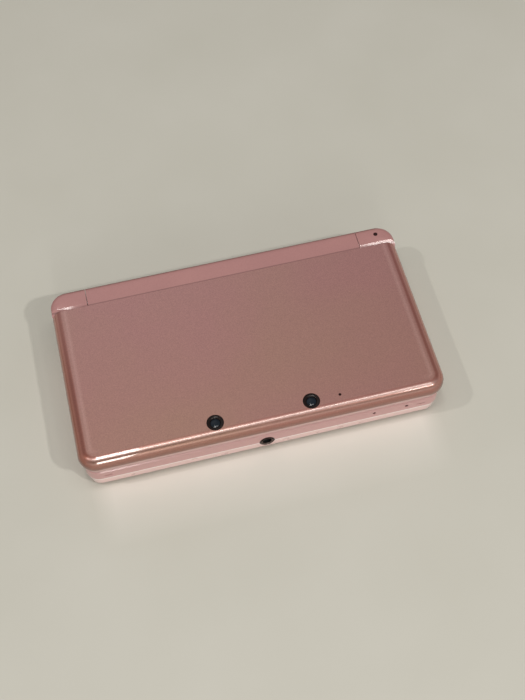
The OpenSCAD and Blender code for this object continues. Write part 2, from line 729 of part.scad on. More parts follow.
// Floor that the parts stand on, with the screws' bosses, the battery's well and the stylus sleeve
module inner_frame() {
    roof = battery_z[1] + battery_gap;
    color("#3a3b3e") difference() {
        union() {
            case_block(wall, floor_z, floor_top);
            for (sx = [-1, 1]) {
                intersection() {
                    for (at = base_screw_at) tub_boss([sx * at[0], at[1]], 2.4, seam_z);
                    case_block(wall, floor_z, seam_z + 1);
                }
                tub_boss([sx * cover_screw_at[0], cover_screw_at[1]], 2.2, floor_z + 2.9);
            }
            battery_room(well, floor_z, roof + 0.5);
            intersection() {
                along_y(stylus_at[0], stylus_at[1], stylus_r + stylus_wall, half_d - stylus_l - 2.6, half_d - wall);
                span([0, -half_d, floor_z], [half_w, half_d, board_z]);
            }
        }
        battery_room(0, floor_z - 1, roof);
        span([card_x - card_w / 2 - 0.6, card_y - card_l - 0.6, card_z - 0.3],
             [card_x + card_w / 2 + 0.6, half_d, seam_z + 1]);
        tub_bores();
        for (sx = [-1, 1]) {
            for (at = base_screw_at) {
                post([sx * at[0], at[1]], 0.9, under_z, seam_z + 1);
                post([sx * at[0], at[1]], 1.7, under_z, floor_z + 0.9);
            }
            post([sx * cover_screw_at[0], cover_screw_at[1]], 0.92, under_z, floor_z + 2.2);
        }
    }
}

module bottom_cover() {
    color(pale) difference() {
        case_block(cover_in, under_z, under_z + cover_t);
        for (sx = [-1, 1]) {
            for (sy = [-1, 1]) post([sx * foot_at[0], sy * foot_at[1]], foot_r + 0.02, 0, under_z + 0.6);
            post([sx * cover_screw_at[0], cover_screw_at[1]], 2.2, 0, under_z + 0.75);
            post([sx * cover_screw_at[0], cover_screw_at[1]], 1, 0, under_z + cover_t + 1);
        }
    }
}

module rubber_feet() {
    color(rubber_grey) for (sx = [-1, 1], sy = [-1, 1])
        translate([sx * foot_at[0], sy * foot_at[1], 0]) rotate_extrude()
            polygon([[0, 0], [foot_r - 0.35, 0], [foot_r, 0.3], [foot_r, under_z + 0.6], [0, under_z + 0.6]]);
}

module cross_head(at, r, z0, z1, drive_z) {
    difference() {
        post(at, r, z0, z1);
        translate([at[0], at[1], 0]) for (a = [0, 90])
            rotate([0, 0, a]) span([-r * 0.6, -0.2, z0 - 1], [r * 0.6, 0.2, drive_z]);
    }
}

module cover_screws() {
    color(steel) for (sx = [-1, 1]) {
        at = [sx * cover_screw_at[0], cover_screw_at[1]];
        cross_head(at, 2, under_z + 0.12, under_z + 0.75, under_z + 0.5);
        post(at, 0.9, under_z + 0.75 - touch, floor_z + 2);
    }
}

module base_screws() {
    color(steel) for (sx = [-1, 1], at = base_screw_at) {
        cross_head([sx * at[0], at[1]], 1.6, floor_z + 0.1, floor_z + 0.9, floor_z + 0.5);
        post([sx * at[0], at[1]], 0.8, floor_z + 0.9 - touch, face_under_z - 0.6);
    }
}

// ---------------------------------------------------------------- base inside

module main_board() {
    x_screen = lower_view_w / 2 + 2;
    wing = half_w - wall - 1;
    color(board_green) difference() {
        union() {
            span([-x_screen, -half_d + 13, board_z], [x_screen, lid_back_y - 4.6, board_top]);
            span([-wing, -half_d + 11, board_z], [-x_screen + touch, pad_y - 10, board_top]);
            span([x_screen - touch, -half_d + 11, board_z], [wing, lid_back_y - 8, board_top]);
            span([-25, -half_d + 4, board_z], [half_w - 9, -half_d + 13 + touch, board_top]);
        }
        span([-4.3, -half_d, board_z - 1], [4.3, jack_back + 0.3, board_top + 1]);
        span([card_x - card_w / 2 - 0.8, card_y - card_l - 0.8, board_z - 1], [card_end + 0.3, half_d, board_top + 1]);
    }
}

module battery() {
    size = [battery_x[1] - battery_x[0], battery_y[1] - battery_y[0]];
    color("#d8d9dc") translate([battery_x[0] + size[0] / 2, battery_y[0] + size[1] / 2, 0])
        block(size[0], size[1], 1.5, battery_z[0], battery_z[1]);
}

module touch_panel() {
    color("#1f2226") translate([0, lower_screen_y, 0])
        block(lower_view_w + 4, lower_view_d + 3.2, 0.9, touch_z, touch_z + touch_t);
}

module lower_lcd() {
    color("#2b2e33") translate([0, lower_screen_y, 0])
        block(lower_view_w + 3.4, lower_view_d + 2.8, 0.8, touch_z - lower_lcd_t, touch_z);
}

module wireless_module() {
    color("#2a6b4b") span([half_w - 23, -3, floor_top], [half_w - 8, 13, floor_top + 2.2]);
}

module microphone() {
    color(steel) post([-menu_pitch * 2, menu_y], 1.8, board_top, face_under_z);
}

module circle_pad_base() {
    color("#3a3b3e") translate([-pad_x, pad_y, 0]) difference() {
        span([-circle_base[0] / 2, -circle_base[1] / 2, floor_top],
             [circle_base[0] / 2, circle_base[1] / 2, floor_top + 3.8]);
        span([-pad_travel - 5.3, -6.6, floor_top + 2.6], [pad_travel + 5.3, 6.6, floor_top + 5]);
        post([0, 0], 1.4, floor_top - 1, floor_top + 5);
    }
}

module circle_carriage() {
    color(steel) translate([-pad_x, pad_y, 0]) difference() {
        span([-5, -6.4, floor_top + 2.7], [5, 6.4, floor_top + 3.7]);
        span([-1.6, -pad_travel - 2, floor_top + 3.3], [1.6, pad_travel + 2, floor_top + 5]);
    }
}

// The cap is a shallow dish on a stem with a foot
module circle_pad() {
    z0 = face_z - 1.3;
    z1 = face_z + key_rise;
    foot_z = floor_top + 3.8;
    color("#8d8f94") translate([-pad_x, pad_y, 0]) {
        rotate_extrude() polygon([[0, z0], [pad_r - 0.6, z0], [pad_r, z0 + 0.7], [pad_r, z1 - 0.5],
                                  [pad_r - 0.3, z1 - 0.1], [pad_r - 0.9, z1], [pad_r - 1.6, z1 - 0.2],
                                  [pad_r - 3, z1 - 0.55], [pad_r - 5, z1 - 0.8], [0, z1 - 0.9]]);
        post([0, 0], 1.9, foot_z, z0 + touch);
        post([0, 0], 4.2, foot_z, foot_z + 0.7);
        post([0, 0], 1.3, foot_z - 0.4, foot_z + touch);
    }
}

module d_pad_pivot() {
    z0 = sheet_z + 0.05;
    color(steel) translate([-pad_x, -cross_y, 0])
        rotate_extrude() polygon([[0, z0], [0.6, z0], [1.9, z0 + 0.12], [1.9, z0 + 0.2], [1.3, z0 + 0.35], [0.5, z0 + 0.45], [0, z0 + 0.45]]);
}

module d_pad() {
    hub_z = sheet_z + 0.55;
    z0 = hub_z + 0.3;
    z1 = face_z + key_rise - 0.05;
    color("#6d6f74") translate([-pad_x, -cross_y, 0]) difference() {
        union() {
            translate([0, 0, z0]) linear_extrude(z1 - z0 - 0.35) cross_plan(0);
            translate([0, 0, z1 - 0.35 - touch]) linear_extrude(0.35 + touch) cross_plan(-0.3);
            post([0, 0], cross_hub_r, hub_z, hub_z + 0.45);
        }
        post([0, 0], 2.1, z1 - 0.35, z1 + 1);
    }
}

// Round key with a retaining flange under the face and a softened top edge
module round_key(r, flange) {
    z1 = face_z + key_rise;
    rotate_extrude() polygon([[0, sheet_z + 0.55], [r + flange, sheet_z + 0.55], [r + flange, face_under_z - 0.1],
                              [r, face_under_z - 0.1], [r, z1 - 0.5], [r - 0.18, z1 - 0.2],
                              [r - 0.55, z1 - 0.03], [r - 1, z1], [0, z1]]);
}

module face_button(a) {
    color("#6d6f74") translate([pad_x + button_ring * cos(a), pad_y + button_ring * sin(a), 0])
        round_key(button_r, 0.8);
}

module menu_key(x) {
    z1 = face_z + 0.25;
    color("#6d6f74") translate([x, menu_y, 0]) {
        block(menu_w, menu_d, 1.1, face_under_z - touch, z1);
        block(menu_w + 1.2, menu_d + 1.2, 1.1, face_under_z - 0.6, face_under_z - 0.1);
        block(menu_w, menu_d, 1.1, face_under_z - 0.2, face_under_z);
    }
}

module power_button() {
    color("#6d6f74") translate([power_at[0], power_at[1], 0]) round_key(power_r, 0.7);
}

module key_membranes() {
    color("#c9c9c6") {
        difference() {
            span([pad_x - 13.6, pad_y - 12.6, board_top], [pad_x + 11.6, pad_y + 11, sheet_z]);
            post([pad_x, pad_y], 1.5, board_top - 1, sheet_z + 1);
        }
        at_face_buttons() post([0, 0], 2.4, sheet_z - touch, sheet_z + 0.04);
        span([-pad_x - 11.4, -cross_y - 9.4, board_top], [-pad_x + 11.4, pad_y - dish_r - 1.3, sheet_z]);
        for (sx = [-1, 1])
            span([sx * menu_pitch - 7.5, menu_y - 1.8, board_top], [sx * menu_pitch + 7.5, menu_y + 2.6, sheet_z]);
        post(power_at, power_r, board_top, sheet_z);
    }
}

// ---------------------------------------------------------------- edge controls

module volume_slider() {
    color(pale) translate([0, volume_y, volume_z]) {
        span([-half_w + seam_in - 0.35, -2.4, -0.75], [-half_w + wall + 0.3, 2.4, 0.75]);
        span([-half_w + wall + 0.1, -3.4, -1.4], [-half_w + wall + 1, 3.4, 1.2]);
    }
}

module wireless_switch() {
    color(pale) translate([0, wireless_y, volume_z]) {
        span([half_w - wall - 0.3, -2.2, -0.75], [half_w - seam_in + 0.35, 2.2, 0.75]);
        span([half_w - wall - 1, -3.2, -1.4], [half_w - wall - 0.1, 3.2, 1.2]);
    }
}

// Shoulder button: the case's rounded back corner as a thick curved shell
module shoulder(sx) {
    color("#8d8f94") difference() {
        intersection() {
            case_block(seam_in, shoulder_z[0], shoulder_z[1]);
            side(sx) span([shoulder_in, shoulder_y, shoulder_z[0]], [half_w, half_d, shoulder_z[1]]);
        }
        side(sx) span([-half_w, -half_d, shoulder_z[0] - 1],
            [half_w - seam_in - shoulder_t, half_d - seam_in - shoulder_t, shoulder_z[1] + 1]);
        post([sx * shoulder_pin[0], shoulder_pin[1]], shoulder_pin_r + 0.05, shoulder_z[0] - 1, shoulder_z[1] + 1);
    }
}

module shoulder_pins() {
    color(steel) for (sx = [-1, 1])
        post([sx * shoulder_pin[0], shoulder_pin[1]], shoulder_pin_r, shoulder_z[0] - 0.6, shoulder_z[1] + 0.8);
}

module stylus_barrel() {
    end_y = half_d - 1.2;
    color("#2a2b2e") difference() {
        along_y(stylus_at[0], stylus_at[1], stylus_r, half_d - stylus_l, end_y);
        along_y(stylus_at[0], stylus_at[1], 1.35, half_d - stylus_l - 1, end_y - 3);
        span([stylus_at[0] - 3, end_y - 0.9, stylus_at[1] + 0.9], [stylus_at[0] + 3, end_y - 0.3, stylus_at[1] + 3]);
    }
}

module stylus_tip() {
    y0 = half_d - stylus_l - 1.2;
    color(steel) translate([stylus_at[0], 0, stylus_at[1]]) rotate([-90, 0, 0])
        rotate_extrude() polygon([[0, y0], [0.45, y0], [0.9, y0 + 0.6], [1.3, y0 + 2.2], [1.3, half_d - 5], [0, half_d - 5]]);
}

module sd_door() {
    color(pale) {
        intersection() {
            tub_slab();
            span([-half_w, memory_y - door_w / 2, under_z + 2.65],
                 [-half_w + seam_in + 1.9, memory_y + door_w / 2, seam_z - 0.65]);
        }
        along_y(door_pin[0], door_pin[1], door_pin_r, memory_y - door_w / 2 - 1, memory_y + door_w / 2 + 1);
    }
}

module sd_socket() {
    x0 = -half_w + wall + 0.6;
    y0 = memory_y - memory_w / 2;
    y1 = memory_y + memory_w / 2;
    color(steel) difference() {
        span([x0, y0 - 0.5, floor_top], [x0 + 27, y1 + 0.5, floor_top + 3.1]);
        span([x0 - 1, y0, floor_top + 0.3], [x0 + 26.5, y1, floor_top + 2.8]);
    }
}

module headphone_jack() {
    color(ink) difference() {
        union() {
            along_y(0, jack_z, collar_r, jack_y, -half_d + wall + 0.1);
            span([-4, -half_d + wall, jack_z - 2.05], [4, jack_back, jack_z + 2.05]);
        }
        along_y(0, jack_z, jack_r, jack_y - 1, jack_y + jack_l);
        along_y(0, jack_z, jack_r + 0.45, jack_y - 1, jack_y + 0.3);
    }
}

module charging_socket() {
    color(ink) difference() {
        span([charge_x - 4.5, half_d - 9.5, under_z + 2.65], [charge_x + 4.5, half_d - 1.6, under_z + 5.75]);
        span([charge_x - 4, half_d - 7, under_z + 3.15], [charge_x + 4, half_d, under_z + 5.25]);
    }
}

module cradle_contacts() {
    color("#d8b45c") for (sx = [-1, 1])
        span([charge_x + sx * contact_x - 0.55, half_d - wall - 0.4, under_z + 3.45],
             [charge_x + sx * contact_x + 0.55, half_d - 1.8, under_z + 4.95]);
}

module card_slot() {
    x0 = card_x - card_w / 2;
    x1 = card_x + card_w / 2;
    color(steel) difference() {
        span([x0 - 0.5, card_y - card_l - 0.5, card_z - 0.25], [x1 + 0.5, card_y - 0.05, card_z + card_h + 0.3]);
        span([x0, card_y - card_l, card_z], [x1, half_d, card_z + card_h]);
    }
}

module infrared_window() {
    color(ink) span([infrared_x - infrared_w / 2 + 0.05, half_d - wall - 0.6, under_z + 2.55],
                    [infrared_x + infrared_w / 2 - 0.05, half_d - 1.7, under_z + 5.55]);
}

module indicator_lights() {
    color("#4a2326") {
        for (x = status_x) along_y(x, status_z, 0.62, -half_d + face_top_in + 0.15, -half_d + wall + 0.9);
        post(notify_at, 0.8, top_z - barrel_drop - 1.8, top_z - barrel_drop - 0.05);
    }
}

// ---------------------------------------------------------------- hinge inside

module hinge_shaft() {
    color(steel) on_axis(shaft_r, -half_w + 4.1, -barrel_x + clutch_l - 2.2);
}

module hinge_tube() {
    color(steel) difference() {
        on_axis(barrel_bore_r - 0.05, barrel_x - tube_l + 7.4, half_w - tube_out - 0.1);
        on_axis(barrel_bore_r - 1, barrel_x - tube_l + 6, half_w);
        ribbon_way();
    }
}

// ---------------------------------------------------------------- nodes

lid_cover();
lid_frame();
upper_window();
upper_lcd();
camera_windows();
camera_barrels();
camera_bracket();
camera_light();
inner_camera();
speakers();
depth_slider();
lid_bumpers();
lid_screws();
hinge_clutch();
display_ribbon();
base_face();
base_tub();
rear_panel();
inner_frame();
bottom_cover();
rubber_feet();
cover_screws();
base_screws();
main_board();
battery();
touch_panel();
lower_lcd();
wireless_module();
microphone();
circle_pad_base();
circle_carriage();
circle_pad();
d_pad_pivot();
d_pad();
face_button(0);  // button_right
face_button(90);  // button_top
face_button(180);  // button_left
face_button(270);  // button_bottom
menu_key(-menu_pitch);  // select_button
menu_key(0);  // home_button
menu_key(menu_pitch);  // start_button
power_button();
key_membranes();
volume_slider();
wireless_switch();
shoulder(-1);  // shoulder_left
shoulder(1);  // shoulder_right
shoulder_pins();
stylus_barrel();
stylus_tip();
sd_door();
sd_socket();
headphone_jack();
charging_socket();
cradle_contacts();
card_slot();
infrared_window();
indicator_lights();
hinge_shaft();
hinge_tube();
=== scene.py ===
# %% [markdown]
# # A clamshell handheld game console
# The console lies closed. A pearl-lacquered lid cover sits on a satin frame, which turns on a hinge
# barrel between two knuckles of the base. Every CAD piece is already in place, so this script only
# gives the pieces their finish, and swaps some for finer meshes with the same size and place.

# %% Load the frame
import json
import math

import bmesh
import bpy
from mathutils import Matrix, Vector


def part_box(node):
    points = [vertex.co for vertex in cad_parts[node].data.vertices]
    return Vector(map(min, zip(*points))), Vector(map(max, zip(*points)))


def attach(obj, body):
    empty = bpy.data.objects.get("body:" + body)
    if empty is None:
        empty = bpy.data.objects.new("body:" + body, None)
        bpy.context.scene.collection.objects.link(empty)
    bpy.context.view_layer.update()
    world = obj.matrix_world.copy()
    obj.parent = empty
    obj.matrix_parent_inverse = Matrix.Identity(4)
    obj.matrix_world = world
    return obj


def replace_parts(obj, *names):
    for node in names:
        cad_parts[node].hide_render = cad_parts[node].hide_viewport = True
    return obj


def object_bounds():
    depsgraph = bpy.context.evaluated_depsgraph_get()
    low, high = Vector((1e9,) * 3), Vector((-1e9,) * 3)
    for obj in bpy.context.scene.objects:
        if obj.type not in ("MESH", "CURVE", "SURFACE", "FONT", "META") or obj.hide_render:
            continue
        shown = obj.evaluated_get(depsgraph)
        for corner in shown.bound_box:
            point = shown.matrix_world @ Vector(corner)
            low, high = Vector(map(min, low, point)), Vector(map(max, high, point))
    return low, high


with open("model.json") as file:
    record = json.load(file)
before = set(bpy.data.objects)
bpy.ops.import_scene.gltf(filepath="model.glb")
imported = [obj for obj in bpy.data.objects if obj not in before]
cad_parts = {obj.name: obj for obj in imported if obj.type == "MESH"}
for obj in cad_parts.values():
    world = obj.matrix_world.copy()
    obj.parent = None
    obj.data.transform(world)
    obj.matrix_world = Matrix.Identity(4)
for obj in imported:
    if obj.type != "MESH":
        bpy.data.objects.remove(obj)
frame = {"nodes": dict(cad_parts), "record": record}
cad_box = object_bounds()
nodes = frame["nodes"]
body_of_node = {
    node: body
    for body, members in frame["record"]["behaviour"]["bodies"].items()
    for node in members
}
slot_of_node = {row["node"]: row["material_slot"] for row in frame["record"]["subparts"]}
MM = 0.001
low, high = (Vector(corner) for corner in cad_box)
top_z = high.z
print("nodes", len(nodes), "size in mm", [round(c / MM, 1) for c in high - low])

# %% [markdown]
# The camera looks down steeply from the front, a little from the left, and is rolled slightly
# clockwise. It could be placed by hand in the viewport. Here its place, the point that it aims at and
# its roll are written down in millimetres and degrees, so that the view is the same on every run.

# %% Camera
camera_place = Vector((-38.89, -210.61, 376.47)) * MM
camera_aim = Vector((7.0, -0.36, 10.5)) * MM
camera_roll = math.radians(-1.768)
camera_lens, sensor_height, nearest_seen = 58.2, 36, 0.01

camera_data = bpy.data.cameras.new("camera")
camera_data.lens = camera_lens
camera_data.sensor_fit = "VERTICAL"
camera_data.sensor_height = sensor_height
camera_data.clip_start = nearest_seen
camera = bpy.data.objects.new("camera", camera_data)
bpy.context.scene.collection.objects.link(camera)
aim_turn = (camera_aim - camera_place).to_track_quat("-Z", "Y").to_matrix().to_4x4()
camera.matrix_world = (
    Matrix.Translation(camera_place) @ aim_turn @ Matrix.Rotation(camera_roll, 4, "Z")
)
bpy.context.scene.camera = camera
bpy.context.scene.view_settings.view_transform = "Standard"
print("camera is", round((camera_aim - camera_place).length / MM), "mm away")


# %% [markdown]
# Materials, geometry-nodes trees and the world are all graphs of nodes. They could be drawn by hand in
# Blender's editors, but here a small class adds a node, sets its inputs and links others into it in
# one line, so that each finish and shape further down reads as a short recipe.

# %% Graph helper
class Graph:
    """A node tree, and short ways to add to it."""

    def __init__(self, tree):
        self.tree = tree

    def add(self, kind, settings=None, **inputs):
        node = self.tree.nodes.new(kind)
        for key, value in (settings or {}).items():
            setattr(node, key, value)
        for key, value in inputs.items():
            self.feed(node.inputs[key.replace("_", " ")], value)
        return node

    def feed(self, socket, value):
        """Links another node's output into a socket, or sets the socket's own value."""
        if isinstance(value, bpy.types.NodeSocket):
            self.tree.links.new(value, socket)
        else:
            socket.default_value = value

    def math(self, operation, *values):
        node = self.add("ShaderNodeMath", {"operation": operation})
        for socket, value in zip(node.inputs, values):
            self.feed(socket, value)
        return node.outputs[0]

    def remap(self, value, from_low, from_high, to_low=0.0, to_high=1.0):
        return self.add("ShaderNodeMapRange", {"clamp": True}, Value=value, From_Min=from_low,
                        From_Max=from_high, To_Min=to_low, To_Max=to_high).outputs["Result"]

    def band(self, value, start, full, fade, end):
        """1 between full and fade, and less outside them, down to 0 at start and at end."""
        return self.math("MULTIPLY", self.remap(value, start, full), self.remap(value, end, fade))

    def blend(self, share, first, second, how="MIX"):
        node = self.add("ShaderNodeMix", {"data_type": "RGBA", "blend_type": how})
        for name, value in (("Factor_Float", share), ("A_Color", first), ("B_Color", second)):
            self.feed(next(i for i in node.inputs if i.identifier == name), value)
        return node.outputs["Result"]

    def ramp(self, share, stops):
        """A colour that runs through (position, colour) stops as the share goes from 0 to 1."""
        node = self.add("ShaderNodeValToRGB", Fac=share)
        while len(node.color_ramp.elements) < len(stops):
            node.color_ramp.elements.new(0.5)
        for element, (position, colour) in zip(node.color_ramp.elements, stops):
            element.position = position
            element.color = colour
        return node.outputs["Color"]

    def axes(self, place, scale=1.0):
        """The X, Y and Z of a vector, each times the scale."""
        split = self.add("ShaderNodeSeparateXYZ", Vector=place)
        return [self.math("MULTIPLY", split.outputs[a], scale) for a in "XYZ"]


print("a graph can", [name for name in vars(Graph) if not name.startswith("_")])


# %% [markdown]
# No finish on the console is one flat colour: plastic drifts in tone, lacquer has flakes and metal has
# lines. Image textures could show that, but noise that is worked out from Object coordinates needs no
# files, has its true size in millimetres and never stretches. A recipe is a material of that kind.

# %% Material helpers
class Recipe(Graph):
    """A material with one Principled shader, whose patterns follow Object coordinates."""

    def __init__(self, name):
        self.material = bpy.data.materials.new(name)
        self.material.use_nodes = True
        super().__init__(self.material.node_tree)
        self.shader = self.tree.nodes["Principled BSDF"]
        self.place = self.add("ShaderNodeTexCoord").outputs["Object"]

    def set(self, **inputs):
        for key, value in inputs.items():
            self.feed(self.shader.inputs[key.replace("_", " ")], value)
        return self

    def noise(self, scale_mm, detail=2.0, seed=0.0):
        """Noise whose features are about scale_mm wide, from 0 to 1."""
        return self.add("ShaderNodeTexNoise", {"noise_dimensions": "4D"}, Vector=self.place, W=seed,
                        Scale=1 / (scale_mm * MM), Detail=detail).outputs["Fac"]

    def grey(self, share):
        """The same share of red, green and blue, to multiply a colour by."""
        return self.add("ShaderNodeCombineColor", Red=share, Green=share, Blue=share).outputs["Color"]

    def bump(self, height, depth_mm, strength=1.0):
        node = self.add("ShaderNodeBump", Height=height, Strength=strength, Distance=depth_mm * MM)
        self.feed(self.shader.inputs["Normal"], node.outputs["Normal"])

    def millimetres(self):
        return self.axes(self.place, 1 / MM)


def rgb(red, green, blue):
    """A screen colour from 0 to 255 as the linear colour that shaders use."""
    parts = [c / 255 for c in (red, green, blue)]
    linear = [c / 12.92 if c <= 0.04045 else ((c + 0.055) / 1.055) ** 2.4 for c in parts]
    return (*linear, 1.0)


finish = {}
white = rgb(255, 255, 255)
print("mid grey on screen is", round(rgb(128, 128, 128)[0], 3), "in linear light")

# %% [markdown]
# The lid cover's tone changes along its rim, so a material has to know where on the rim a point lies.
# Vertex colours could carry that, but the outline is a rounded rectangle, so the distance in from the
# case's edge follows from X and Y by a short rule, which stays right on any mesh.

# %% Distance in from the edge
case_w, case_d, corner_r = 134.0, 74.0, 6.5
cover_low, rim_low, rim_in = 16.2, 16.7, 4.2
side_start, side_full = -4, 1


def rim_share(recipe):
    """Distance in from the case edge, the rim's share (0 on the flat top, 1 on the widest line), and
    1 along the two sides."""
    across, along, height = recipe.millimetres()
    out_x = recipe.math("SUBTRACT", recipe.math("ABSOLUTE", across), case_w / 2 - corner_r)
    out_y = recipe.math("SUBTRACT", recipe.math("ABSOLUTE", along), case_d / 2 - corner_r)
    nearest = recipe.math("MINIMUM", recipe.math("MAXIMUM", out_x, out_y), 0.0)
    past_x = recipe.math("POWER", recipe.math("MAXIMUM", out_x, 0.0), 2)
    past_y = recipe.math("POWER", recipe.math("MAXIMUM", out_y, 0.0), 2)
    round_part = recipe.math("SQRT", recipe.math("ADD", past_x, past_y))
    inset = recipe.math("SUBTRACT", corner_r, recipe.math("ADD", nearest, round_part))
    sideways = recipe.remap(inset, 0, rim_in, 0.5, 0)
    downward = recipe.remap(height, rim_low, top_z / MM, 0.5, 0)
    on_side = recipe.remap(recipe.math("SUBTRACT", out_x, out_y), side_start, side_full)
    return inset, recipe.math("ADD", sideways, downward), on_side


print("the rim is", rim_in, "mm wide and", round(top_z / MM - rim_low, 1), "mm high")

# %% [markdown]
# The lid cover is a clear moulding over pearl lacquer. It could be one metallic colour, but that looks
# dead on so large a face, so the rose base drifts slowly towards a greyer rose, and gets a little
# warmer to the front.

# %% Pearl lacquer's base
drift_mm, back_y, front_y = 42, 30, -34
pearl = Recipe("pearl_cover")
across, along, _ = pearl.millimetres()
drift = pearl.remap(pearl.noise(drift_mm, 2, 7.0), 0.35, 0.65)
rose = pearl.blend(drift, rgb(177, 127, 124), rgb(175, 131, 121))
forward = pearl.remap(along, back_y, front_y)
warmer = pearl.ramp(forward, [(0.0, white), (1.0, rgb(251, 253, 242))])
rose = pearl.blend(1.0, rose, warmer, "MULTIPLY")
print("the rose drifts over", drift_mm, "mm")

# %% [markdown]
# Round the rim the lacquer shows darker and lighter bands, which are painted reflections of the room
# in the glossy curve. They could be painted in an image, but one colour ramp over the rim's share gives
# the bands that run all the way round. The two sides get a painted highlight where the flat top ends,
# a painted brown reflection, a painted reflection of the table low on the rim and a painted shade on
# the lower edge, each as a band of the distance in from the edge.

# %% Pearl lacquer's rim
# Painted reflections: the ramp's darker and lighter bands stand in for the room seen in the rim.
rim_stops = [(0.05, white), (0.13, rgb(232, 210, 206)), (0.28, rgb(224, 198, 192)),
             (0.50, rgb(252, 230, 220)), (0.70, rgb(236, 214, 206)), (1.0, rgb(206, 184, 174))]
inset, share, on_side = rim_share(pearl)
rose = pearl.blend(1.0, rose, pearl.ramp(share, rim_stops), "MULTIPLY")

edge_amount, border_amount = 0.35, 0.11
# Painted reflection of the table: a lighter line low on the two sides.
edge_light = pearl.math("MULTIPLY", pearl.band(inset, 0.3, 1.0, 1.9, 2.6), on_side)
rose = pearl.blend(pearl.math("MULTIPLY", edge_light, edge_amount), rose, rgb(226, 176, 164))
# Painted shade on the lowest edge of the two sides, stronger on the right.
shaded = pearl.math("MULTIPLY", pearl.remap(inset, 0.7, 0.2), on_side)
more_right = pearl.remap(across, -20, 20, 0.15, 0.6)
rose = pearl.blend(pearl.math("MULTIPLY", shaded, more_right), rose, rgb(88, 62, 54))
# Painted highlight: a pale line on the two sides where the flat top ends.
border = pearl.math("MULTIPLY", pearl.band(inset, 4.2, 4.9, 5.1, 6.2), on_side)
rose = pearl.blend(pearl.math("MULTIPLY", border, border_amount), rose, rgb(255, 218, 210))
# Painted reflection of the dim room: a brown cast part way down the sides, strongest at the front left.
painted_dark_reflection = pearl.math("MULTIPLY", pearl.remap(inset, 4.0, 3.2), on_side)
painted_dark_reflection = pearl.math("MULTIPLY", painted_dark_reflection, pearl.remap(along, 28, -5, 0.35, 1.0))
painted_dark_reflection = pearl.math("MULTIPLY", painted_dark_reflection, pearl.remap(across, -20, 20, 1.0, 0.45))
rose = pearl.blend(painted_dark_reflection, rose, rgb(219, 191, 175), "MULTIPLY")
print("bands round the rim", len(rim_stops))

# %% [markdown]
# Along the front the rim turns to the light. Its brow gets a paler, greyer painted highlight, and just
# below it a painted shade. Lamps alone gave that line too red a tone, so these painted tones help them.
# They follow the same share, and stay off the sides.

# %% Pearl lacquer's front
front_stops = [(0.18, white), (0.28, rgb(240, 255, 255)), (0.42, rgb(216, 244, 244)),
               (0.52, rgb(224, 244, 246)), (0.66, white)]
brow_amount = 0.5
on_front = pearl.math("SUBTRACT", 1.0, on_side)
# Painted highlight and shade: the stops take red out of the lamps' line and darken the row below it.
rose = pearl.blend(on_front, rose, pearl.ramp(share, front_stops), "MULTIPLY")
# Painted highlight: the brow is blended towards a paler, greyer tone.
brow = pearl.math("MULTIPLY", pearl.band(share, 0.11, 0.22, 0.30, 0.35), on_front)
rose = pearl.blend(pearl.math("MULTIPLY", brow, brow_amount), rose, rgb(190, 168, 162))
print("the front adds", len(front_stops), "stops and a brow of", brow_amount)

# %% [markdown]
# The sparkle comes from thousands of mica flakes. Modelled flakes would cost millions of faces.
# Voronoi cells the size of a flake, each with its own brightness, gloss and tilt, look the same, and a
# hard clear coat on top gives the sharp reflections.

# %% Pearl lacquer's flakes and coat
flake_mm, flake_tilt_mm = 0.2, 0.003
flakes = pearl.add("ShaderNodeTexVoronoi", Vector=pearl.place, Scale=1 / (flake_mm * MM))
spark = pearl.add("ShaderNodeSeparateColor", Color=flakes.outputs["Color"])
glitter = pearl.remap(spark.outputs["Red"], 0, 1, 0.88, 1.12)
pearl.set(
    Base_Color=pearl.blend(1.0, rose, pearl.grey(glitter), "MULTIPLY"),
    Metallic=0.55,
    Roughness=pearl.remap(spark.outputs["Blue"], 0, 1, 0.28, 0.38),
    Coat_Weight=1.0,
    Coat_Roughness=0.035,
    Coat_IOR=1.6,
)
pearl.bump(spark.outputs["Green"], flake_tilt_mm, 0.35)
finish["pearl_cover"] = pearl.material
print("pearl flakes are", flake_mm, "mm wide, in", len(pearl.tree.nodes), "nodes")


# %% [markdown]
# Most other pieces are moulded plastic. A moulding has a slow drift of colour, a fine grain from the
# tool and gloss that is slightly uneven from wear. Three noises of different sizes give these, and a
# clear coat is added only where the real plastic is glossy.

# %% Moulded plastic
tone_mm, speck_mm, smear_mm = 14, 0.5, 6
tone_range, speck_range, smear_range = (0.3, 0.7), (0.35, 0.65), (0.3, 0.7)
speck_amount, smear_amount = 0.03, 0.04


def moulded(slot, colour, shift, roughness, grain_mm=0.12, depth_mm=0.006, coat=0.0, coat_rough=0.1,
            uneven=1.0):
    """Moulded plastic: a slow drift of colour, a fine grain and slightly uneven gloss."""
    speck_by, smear_by = speck_amount * uneven, smear_amount * uneven
    recipe = Recipe(slot)
    tint = recipe.blend(recipe.remap(recipe.noise(tone_mm, 3, 1.0), *tone_range), colour, shift)
    speck = recipe.remap(recipe.noise(speck_mm, 4, 2.0), *speck_range, 1 - speck_by, 1 + speck_by)
    tint = recipe.blend(1.0, tint, recipe.grey(speck), "MULTIPLY")
    smear = recipe.remap(recipe.noise(smear_mm, 4, 3.0), *smear_range,
                         roughness - smear_by, roughness + smear_by)
    recipe.set(Base_Color=tint, Roughness=smear, Coat_Weight=coat, Coat_Roughness=coat_rough)
    recipe.bump(recipe.noise(grain_mm, 2, 4.0), depth_mm)
    finish[slot] = recipe.material
    return recipe


